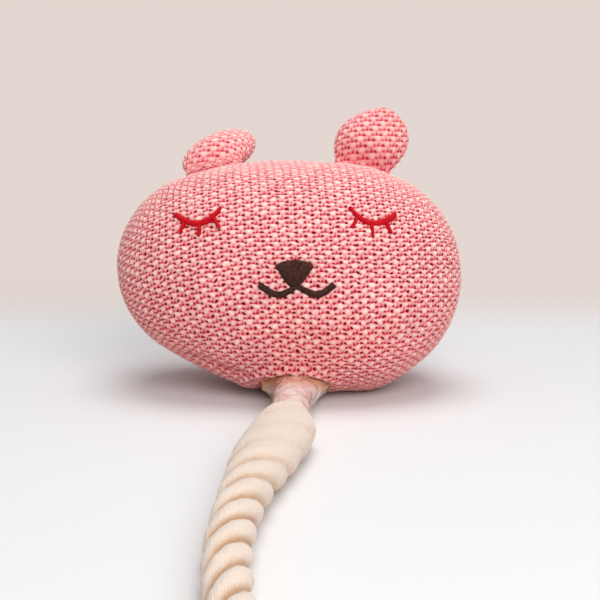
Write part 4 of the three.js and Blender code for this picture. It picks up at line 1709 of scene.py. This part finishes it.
@dataclass
class RopeTail:
    """The rope tail from the sleeve to its end knot and frayed tassel.

    Attributes:
        neck: The way out of the head.
        rope: The rope.
        route: Points right of, ahead of and climbing from the swing pivot.
        girths: Distances from the pivot, and the rope's diameter there: loose past the sleeve.
        flat: How much flatter than wide the rope lies where it is loose, as a share.
        knot_turn: Radius of the knot's turns, which sway in and out.
        knot_strand: Diameter of the rope in the knot.
        tassel_root: How far inside the knot the tassel's yarns start, in a bundle.
        tassel_spread: Degrees by which they spread.
        tassel_rise: How high they lie on each other.
        bed: Filling under the stopper knot, over the knit cover.
    """

    neck: Neck
    rope: LaidRope = LaidRope()
    route: tuple[tuple[float, float, float], ...] = (
        (0, 0, 0), (-0.6, -14, 0), (-2.6, -29, 0), (-5.6, -45, 0), (-8.2, -60, 0),
        (-10.7, -77, 0), (-12.4, -93, 0), (-13.7, -108, 0), (-14.5, -125, 0), (-14.6, -142, 0),
        (-13.9, -156, 0), (-12.8, -170, 0), (-11.4, -184, 0.03), (-10.0, -197, 0.25),
        (-8.6, -210, 0.7), (-7.3, -222, 0.96), (-6.2, -232, 1),
    )
    girths: tuple[tuple[float, float], ...] = (
        (0, 11.4), (15, 11.8), (17, 13.6), (19, 16.4), (22, 18.8), (26, 20.1), (32, 20.6), (40, 20.6),
        (52, 20.2), (64, 18.8), (74, 16.6), (84, 14.9), (105, 13.3), (150, 12.3), (200, 12.5), (240, 13.0),
    )
    flat: float = 0.19
    knot_turn: float = 6.3
    knot_sway: float = 3.6
    knot_strand: float = 10.4
    knot_lay: float = 38.0
    knot_length: float = 26.0
    tassel_length: float = 38.0
    tassel_root: float = 5.0
    tassel_bundle: float = 4.9
    tassel_spread: float = 24.0
    tassel_rise: float = 5.5
    tassel_curl: float = 1.1
    tassel_yarns: int = 132
    tassel_yarn: float = 1.05
    bed: float = 2.6
    cover: float = 2.0

    @property
    def knot_radius(self) -> float:
        """The knot's outside radius."""
        return self.knot_turn + self.knot_sway + self.knot_strand / 2

    @cached_property
    def knots(self) -> Array:
        """The route's points in the row frame."""
        low, high = self.rope.diameter / 2 + FLOOR_GAP, self.knot_radius + FLOOR_GAP
        points = np.array([
            [right, ahead, low + (high - low) * climb - self.neck.pivot[2]]
            for right, ahead, climb in self.route
        ]) + self.neck.pivot
        points[0] = self.neck.pivot
        return points

    @cached_property
    def end_way(self) -> Array:
        """The level direction in which the rope ends."""
        return unit((self.knots[-1] - self.knots[-2]) * [1, 1, 0])

    def girth(self, run: Array) -> Array:
        """Gives the rope's diameter at distances from the swing pivot."""
        return np.interp(run, *zip(*self.girths))

    def squat(self, run: Array) -> Array:
        """Gives the rope's height as a share of its width: it lies flatter where it is loose."""
        return 1 - self.flat * smooth_step(run, 16, 30) * smooth_step(-run, -100, -64)

    @staticmethod
    def loose(run: Array) -> Array:
        """Gives how far the strands have come apart at distances from the swing pivot."""
        return 0.4 * smooth_step(-run, -120, -74) + 0.46 * smooth_step(-run, -80, -52)

    def tail(self) -> Skin:
        """Lays the free rope, round-ended at its pivot.

        Returns:
            The rope's skin.
        """
        path = spline(self.knots, self.rope.spacing)
        ball = self.rope.diameter / 2 - FIT_GAP
        lead_turn = np.linspace(0, math.pi / 2, 12)[:-1]
        lead = path[0] - unit(path[1] - path[0]) * (ball * np.cos(lead_turn))[:, None]
        inside = path[-1] + self.end_way * np.arange(1, 9)[:, None] * self.rope.spacing
        whole = np.concatenate([lead, path, inside])

        def girth(run: Array) -> Array:
            """Rounds the rope's first end off into a ball."""
            past = run - ball
            dome = 2 * np.cbrt(np.clip(ball**3 - np.abs(np.minimum(past, 0)) ** 3, 0.01, None))
            return np.where(past < 0, dome, self.girth(past))

        skin = self.rope.sweep(whole, girth, seed=31, phase=1.1, loose=lambda run: self.loose(run - ball))
        level = np.repeat(whole[:, 2], self.rope.around)
        share = np.repeat(self.squat(run_along(whole) - ball), self.rope.around)
        height = skin.points[:-2, 2]
        skin.points[:-2, 2] = np.maximum(level + (height - level) * share, LEAST_LIFT)
        return skin

    def knot_path(self, spacing: float) -> Array:
        """Gives the tightened overhand knot's line round its own axis.

        Args:
            spacing: The distance between its points.

        Returns:
            Evenly spaced points, the last on the first.
        """
        turn = np.linspace(0, TURN, 600)
        reach = self.knot_turn + self.knot_sway * np.cos(3 * turn)
        line = np.stack([
            reach * np.cos(2 * turn), self.knot_sway * np.sin(3 * turn), reach * np.sin(2 * turn)
        ], -1)
        run = run_along(line)
        return at_places(line, run, np.linspace(0, run[-1], int(run[-1] / spacing)))

    def knot_at(self, centre: Array, way: Array, seed: int) -> Skin:
        """Ties the knot with its axis along a direction.

        Args:
            centre: The knot's middle.
            way: The direction of the rope through it.
            seed: The seed of its unevenness.

        Returns:
            The knot's skin.
        """
        across = unit(np.cross(way, [0.0, 0.0, 1.0]))
        axes = np.stack([across, way, np.cross(across, way)], -1)
        path = self.knot_path(self.rope.spacing) @ axes.T + centre
        strand = LaidRope(self.knot_strand, self.knot_lay, yarns=40, around=120)
        return strand.sweep(path, lambda run: np.full(len(run), self.knot_strand), seed, closed=True)

    def loose_yarn(self, draw: np.random.Generator) -> Skin:
        """Lays one yarn of the tassel, which droops from the knot to the floor.

        Args:
            draw: Where its random numbers come from.

        Returns:
            The yarn's skin.
        """
        across, radius = np.cross(self.end_way, [0, 0, 1.0]), self.tassel_yarn / 2
        root = self.knots[-1] + self.end_way * (self.knot_length + 2 * FIT_GAP - self.tassel_root)
        spread, lift = draw.normal(0, 0.45), draw.random()
        reach = self.tassel_length * (0.86 + 0.16 * draw.random()) + 7
        turn = math.radians(self.tassel_spread) * np.clip(spread, -1.05, 1.05)
        way = self.end_way * math.cos(turn) + across * math.sin(turn)
        at = draw.random() * TURN
        off = self.tassel_bundle * math.sqrt(draw.random())
        start = root + across * off * math.cos(at) + np.array([0, 0, off * math.sin(at)])
        share = np.linspace(0, 1, 15)
        floor = radius + 0.1 + self.tassel_rise * lift * (1 - abs(spread) * 0.4)
        path = start + way * reach * share[:, None]
        fall = smooth_step(np.clip(share * 1.15, 0, 1) ** 1.6, 0, 1)
        path[:, 2] = start[2] + (floor - start[2]) * fall
        curl = draw.normal(size=2) * self.tassel_curl
        wave = np.sin(share * TURN * (0.8 + draw.random()) + draw.random() * TURN) * share
        path += across * (curl[0] * wave)[:, None]
        path[:, 2] = np.maximum(path[:, 2] + 0.5 * curl[1] * wave, radius + LEAST_LIFT)
        skin = tube(path, radius * (1 - 0.35 * share**4), 6)
        skin.values["relief"] = np.full(len(skin.points), 0.55 + 0.4 * draw.random())
        return skin

    def stub(self) -> None:
        """Lays the rope inside the head, up to its stopper knot."""
        neck, over_bed = self.neck, self.cover + 2 * FIT_GAP + self.bed
        stopper = np.array([neck.off_centre, 0, over_bed + self.knot_radius])
        entry = neck.at(-neck.inset - neck.bound_rope / 2)
        begin = neck.length + neck.past_mouth - self.rope.diameter / 2 - FIT_GAP
        straight = [neck.at(distance) for distance in (begin, neck.length / 2, 0, -neck.inset)]
        path = spline(np.stack([*straight, entry, stopper]), self.rope.spacing)
        rope = self.rope.sweep(path, lambda run: np.full(len(run), neck.bound_rope), seed=61)
        knot = self.knot_at(stopper, unit(stopper - entry), seed=62)
        piece = make_piece("rope_head_end_strands", Skin.joined([rope, knot]), CottonRope())
        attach(piece, "head")
        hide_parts("rope_head_end")

    def build(self) -> None:
        tail = make_piece("rope_tail_strands", self.tail(), CottonRope())
        centre = self.knots[-1] + self.end_way * (FIT_GAP + self.knot_length / 2)
        tied = self.knot_at(centre, self.end_way, seed=41)
        tied.points[:, 2] = np.maximum(tied.points[:, 2], LEAST_LIFT)
        knot = make_piece("rope_end_knot_strands", tied, CottonRope())
        draw = np.random.default_rng(51)
        frayed = Skin.joined([self.loose_yarn(draw) for _ in range(self.tassel_yarns)])
        tassel = make_piece("rope_tassel_yarns", frayed, CottonRope())
        nodes = ("rope_tail", "rope_end_knot", "rope_tassel")
        for piece, node in zip((tail, knot, tassel), nodes):
            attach(piece, "tail")
            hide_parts(node)
        path = spline(self.knots, 4.0)
        tuple(self.neck.mouth * MM)
        self.stub()


@dataclass
class FilmSleeve:
    """The crinkled film round the rope where it leaves the head, wound on past the rope's pivot.

    Attributes:
        tail: The rope tail that it is wound round.
        step: Distance between the points of the line that it follows.
        past_pivot: How far it covers the free rope.
        wings: How far it spreads at the skin, to the right and to the left.
        wing_runs: How far ahead each of these wings reaches.
        rise: How much taller it gets ahead of the skin.
        tuck: How far its end is drawn in, as a share.
        crinkle: How deep its crinkles are.
        pleat: How deep its pleats at the skin are.
        hem_slope: How much further ahead it is doubled on top than at its sides.
    """

    tail: RopeTail
    around: int = 132
    rows: int = 120
    step: float = 0.25
    past_pivot: float = 20.0
    wings: tuple[float, float] = (6.8, 3.8)
    wing_runs: tuple[float, float] = (34.0, 10.0)
    rise: float = 0.9
    tuck: float = 0.3
    crinkle: float = 0.15
    pleat: float = 0.35
    hem_slope: float = 19.0
    film: float = 0.12

    def axes(self, run: Array) -> tuple[Array, Array, Array]:
        """Follows the line of the sleeve.

        Args:
            run: Distances from its end inside the head.

        Returns:
            The line's points there, and the directions to its right and up.
        """
        neck = self.tail.neck
        straight = [neck.at(distance) for distance in (-neck.inset, 0, neck.length / 2)]
        path = spline(np.stack([*straight, neck.mouth, neck.pivot, *self.tail.knots[1:4]]), self.step)
        way = self.step * np.arange(len(path))
        along = unit(at_places(np.gradient(path, axis=0), way, run))
        side = np.cross([0, 0, 1.0], along)
        side *= np.sign(side[..., [0]])
        up = np.cross(along, side)
        return at_places(path, way, run), side, up * np.sign(up[..., [2]])

    def skin(self) -> Skin:
        """Winds the film and crinkles it.

        Returns:
            The skin of its outside, its inside and both rims.
        """
        neck = self.tail.neck
        pivot_at = neck.inset + neck.length + neck.past_mouth
        angle = np.arange(self.around) * TURN / self.around
        places = np.linspace(0, pivot_at + self.past_pivot, self.rows)
        run = np.repeat(places[:, None], self.around, 1)
        centre, side, up = self.axes(run)
        from_skin = run - neck.inset
        tucked = 1 - self.tuck * smooth_step(run - pivot_at, self.past_pivot - 6, self.past_pivot)
        wings = [
            spread * np.clip(1 - np.maximum(from_skin, 0) / reach, 0, 1) ** 1.7
            for spread, reach in zip(self.wings, self.wing_runs)
        ]
        wide = (neck.mouth_width / 2 + np.where(np.cos(angle) > 0, *wings)) * tucked
        tall = (neck.half_height + self.rise * smooth_step(from_skin, 4, 28)) * tucked
        ring = np.cos(angle)[:, None] * side * wide[..., None] + np.sin(angle)[:, None] * up * tall[..., None]
        flat = (centre + ring).reshape(-1, 3)
        long, short = (
            np.abs(Ripple(length, seed).at(flat * [1, 0.4, 1])).reshape(run.shape)
            for length, seed in ((7.0, 71), (3.6, 72))
        )
        crumple = 1.5 - 2.2 * long - short
        pleats = np.cos(9 * angle + 1.4 * np.sin(2 * angle)) * smooth_step(-from_skin, -18, 4)
        doubled = smooth_step(self.hem_slope * np.clip(np.sin(angle), 0, 1) - from_skin, -14, 0)
        gather = np.clip(0.85 * doubled + 0.1 * pleats + 0.06 * crumple, 0, 1)
        ridge = np.clip(self.crinkle * (crumple - 1 / 3) + self.pleat * pleats, -0.1, 0.9)
        points = np.concatenate([
            (centre + ring + unit(ring) * (ridge - inner)[..., None]).reshape(-1, 3)
            for inner in (0.0, self.film)
        ])
        points[:, 2] = np.maximum(points[:, 2], LEAST_LIFT)
        count = len(flat)
        quads = grid_faces(self.rows, self.around, wrap=True)
        first, last = np.arange(self.around), np.arange(count - self.around, count)
        rims = [
            np.stack([row, np.roll(row, -1), np.roll(row, -1) + count, row + count], -1)
            for row in (first[::-1], last)
        ]
        layout = ((self.rows, 0.0, 0.49), (self.rows, 0.5, 0.98), (2, 0.982, 0.99), (2, 0.991, 0.999))
        charts = [grid_chart(rows, self.around, True, (0.0, low, 1.0, high)) for rows, low, high in layout]
        charts[1] = charts[1][:, ::-1]
        faces = [quads, quads[:, ::-1] + count, *rims]
        return Skin(points, faces, charts, {"relief": np.tile(gather.ravel(), 2)}).turned_out()

    def build(self) -> None:
        """Makes the sleeve."""
        neck = self.tail.neck
        piece = make_piece("neck_film", self.skin(), ClearFilm())
        reach = neck.axis * 11
        start, end = neck.pivot - reach, neck.pivot + reach
        tuple(start * MM)
        tuple(end * MM)
        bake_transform(piece)
        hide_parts("neck_sleeve")


# Inside pieces


@dataclass
class Inside:
    """What the covers hide: fibre wads, and the rattle capsule with its beads.

    Attributes:
        voxel: Size of the wads' facets.
        lump: How deep their lumps are.
        least: How far they stay inside their solids.
    """

    voxel: float = 1.6
    lump: float = 0.9
    least: float = 0.15

    def wad(self, node: str, body: str) -> None:
        """Teases a filling into a lumpy wad inside its solid.

        Args:
            node: The filling's solid.
            body: The body that it rides on.
        """
        piece = bpy.data.objects.new(f"{node}_wad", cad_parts[node].data.copy())
        bpy.context.scene.collection.objects.link(piece)
        remesh = piece.modifiers.new("teased", "REMESH")
        remesh.mode = "VOXEL"
        remesh.voxel_size = self.voxel * MM
        remesh.use_smooth_shade = True
        view = bpy.context.evaluated_depsgraph_get()
        mesh = bpy.data.meshes.new_from_object(piece.evaluated_get(view))
        piece.modifiers.clear()
        piece.data = mesh
        count = len(mesh.vertices)
        places, normals = np.zeros(count * 3, np.float32), np.zeros(count * 3, np.float32)
        mesh.vertices.foreach_get("co", places)
        mesh.vertices.foreach_get("normal", normals)
        places, normals = places.reshape(-1, 3), normals.reshape(-1, 3)
        spots = places / MM
        uneven = 0.7 * Ripple(9.0, seed=81).at(spots) + 0.5 * Ripple(3.2, seed=82).at(spots)
        depth = self.lump * np.clip(0.5 + 0.5 * uneven, 0, 1.2) + self.least
        places = places - normals * (depth * MM)[:, None]
        mesh.vertices.foreach_set("co", places.astype(np.float32).ravel())
        mesh.update()
        mesh.shade_smooth()
        mesh.materials.clear()
        mesh.materials.append(FibreFill().material())
        LOG.info("%s: %d points", piece.name, count)
        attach(piece, body)
        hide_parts(node)

    def build(self) -> None:
        """Makes the wads and finishes the rattle."""
        for node in ("head_filling_lower", "head_filling_upper"):
            self.wad(node, "head")
        for side in Side:
            self.wad(f"ear_{side.word}_filling", f"ear_{side.word}")
        for node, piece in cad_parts.items():
            if node.startswith("rattle"):
                finish = TumbledSteel() if "bead" in node else MouldedCapsule()
                piece.data.materials.clear()
                piece.data.materials.append(finish.material())
                LOG.info("%s: %s", node, finish.name)


# Studio


def seen_rays(tree: Tree) -> Term:
    """Gives 1 where the camera looks, straight or by way of gloss or glass, and 0 for other light.

    Args:
        tree: The node tree that the nodes go into.

    Returns:
        The share as a shader value.
    """
    rays = add_node(tree, "ShaderNodeLightPath").outputs
    straight, gloss, glass = (
        Term(tree, rays[f"Is {kind} Ray"]) for kind in ("Camera", "Glossy", "Transmission")
    )
    return (straight + gloss + glass).clip(0, 1)


@dataclass(frozen=True)
class PaperSweep(Finish):
    """Matt photographer's paper that runs from the floor up the wall.

    It is white round the toy and turns the wall's warm beige behind it; the fade to beige with
    distance on every side is a painted pool of light round the toy, painted shade darkens the wall
    towards its top, and it stays even into the distance.
    Its fades are measured in metres.
    """

    name: str = "paper_sweep_matt"
    floor: str = "#e6e8ea"
    dimmed: str = "#ded3cf"
    wall: str = "#e4d6d0"
    wall_top: str = "#dccdc5"
    middle: float = 0.15
    behind: tuple[float, float] = (0.08, 0.24)
    far: tuple[float, float] = (0.45, 0.95)
    tall: float = 0.6

    def dress(self, tree: Tree, place: Socket) -> Inputs:
        """Fades the floor's white into the wall's beige and a painted pool of light (see the base class)."""
        x, y, z = (
            Term(tree, axis) for axis in add_node(tree, "ShaderNodeSeparateXYZ", {0: place}).outputs
        )
        away = (x * x + (y + self.middle) * (y + self.middle)) ** 0.5
        # Behind: where the wall begins; far: the rim of the painted pool of light round the toy
        behind, far = (
            Term(tree, add_node(tree, "ShaderNodeMapRange", {
                "Value": term, "From Min": near, "From Max": end,
            }, interpolation_type="SMOOTHSTEP"))
            for term, (near, end) in ((y, self.behind), (away, self.far))
        )
        share = (behind + far).clip(0, 1)
        # The glowing backdrop gets painted shade, darker towards the top of the wall
        tint, shade = (
            add_node(tree, "ShaderNodeValToRGB", {0: term}, ((0.0, start), (1.0, end)))
            for term, start, end in (
                (share, self.floor, self.wall), (z / self.tall, self.wall, self.wall_top),
            )
        )
        seen = seen_rays(tree)
        paper = add_node(tree, "ShaderNodeMix", {0: seen, 6: linear(self.dimmed), 7: tint}, data_type="RGBA")
        plain = add_node(tree, "ShaderNodeEmission", {"Color": shade})
        mixed = add_node(tree, "ShaderNodeMixShader", {
            0: share * seen, 1: tree.nodes["Principled BSDF"], 2: plain,
        })
        wire(tree, tree.nodes["Material Output"], {"Surface": mixed})
        return {"Base Color": paper.outputs[2], "Roughness": 0.9, "Specular IOR Level": 0.1}


@dataclass
class Studio:
    """A plain pale sweep, soft lamps and the camera at the photograph's angle.

    Attributes:
        focal: The camera's focal length for a 36 mm wide square frame.
        stand: The camera's place.
        look_down: Degrees by which it looks down.
        lamps: Name, place, size and power of each soft lamp.
        aim: The point that the lamps look at.
        world: The colour of the surroundings' light.
    """

    focal: float = 102.6
    stand: tuple[float, float, float] = (4.2, -590.3, 147.9)
    look_down: float = 11.2
    lamps: tuple[tuple[str, tuple[float, float, float], float, float], ...] = (
        ("top_softbox", (40.0, 0.0, 1000.0), 700.0, 5.0),
        ("front_softbox", (240.0, -800.0, 500.0), 700.0, 5.6),
    )
    aim: tuple[float, float, float] = (0.0, -20.0, 40.0)
    glow: str = "#fffcfa"
    world: str = "#ffffff"
    world_strength: float = 0.36

    def camera(self) -> None:
        """Sets the camera up."""
        lens = bpy.data.cameras.new("camera")
        lens.sensor_width = 36.0
        lens.lens = self.focal
        lens.clip_start, lens.clip_end = 0.01, 30.0
        camera = bpy.data.objects.new("camera", lens)
        camera.location = Vector(self.stand) * MM
        camera.rotation_euler = (math.radians(90 - self.look_down), 0, 0)
        bpy.context.scene.collection.objects.link(camera)
        bpy.context.scene.camera = camera

    def sweep(self) -> None:
        """Rolls the paper out over the floor and up the wall."""
        front, bend, back, tall, wide = -4000.0, 900.0, 1500.0, 2600.0, 4000.0
        turn = np.linspace(0, math.pi / 2, 24)
        y = np.concatenate([[front], back + bend * np.sin(turn), [back + bend]])
        z = np.concatenate([[0.0], bend * (1 - np.cos(turn)), [tall]])
        rows = len(y)
        points = np.stack([np.tile([-wide, wide], rows), np.repeat(y, 2), np.repeat(z, 2)], -1)
        piece = make_piece("paper_sweep", Skin(points, [grid_faces(rows, 2)]), PaperSweep())

    def light(self) -> None:
        """Hangs the soft lamps and lights the surroundings."""
        for name, place, size, power in self.lamps:
            data = bpy.data.lights.new(name, "AREA")
            data.shape = "DISK"
            data.size = size * MM
            data.energy = power
            data.color = linear(self.glow)[:3]
            lamp = bpy.data.objects.new(name, data)
            lamp.location = Vector(place) * MM
            lamp.rotation_euler = (Vector(self.aim) - Vector(place)).to_track_quat("-Z", "Y").to_euler()
            bpy.context.scene.collection.objects.link(lamp)
            LOG.info("%s: %.1f W", name, power)
        world = bpy.data.worlds.new("soft_surroundings")
        world.use_nodes = True
        tree = world.node_tree
        glow = tree.nodes["Background"]
        wire(tree, glow, {"Color": linear(self.world), "Strength": self.world_strength})
        wall = add_node(tree, "ShaderNodeBackground", {"Color": linear(PaperSweep.wall)})
        seen = seen_rays(tree)
        mixed = add_node(tree, "ShaderNodeMixShader", {0: seen, 1: glow, 2: wall})
        wire(tree, tree.nodes["World Output"], {"Surface": mixed})
        bpy.context.scene.world = world

    def build(self) -> None:
        """Sets the camera, the sweep and the lamps up."""
        bpy.context.scene.view_settings.view_transform = "Standard"
        self.camera()
        self.sweep()
        self.light()


def main() -> None:
    """Builds the toy's pieces in order."""
    logging.basicConfig(level=logging.INFO, format="%(message)s")
    form = HeadForm()
    neck = Neck(form)
    Studio().build()
    tail = RopeTail(neck)
    tail.build()
    FilmSleeve(tail).build()
    KnitHead(form, neck).build()
    KnitEar(form, Side.LEFT, fold=64, sweep=9.5, knit_turn=18, pale=1.12).build()
    KnitEar(form, Side.RIGHT, fold=14, sweep=4.0, knit_turn=-17).build()
    Face(form).build()
    Inside().build()


if __name__ == "__main__":
    main()
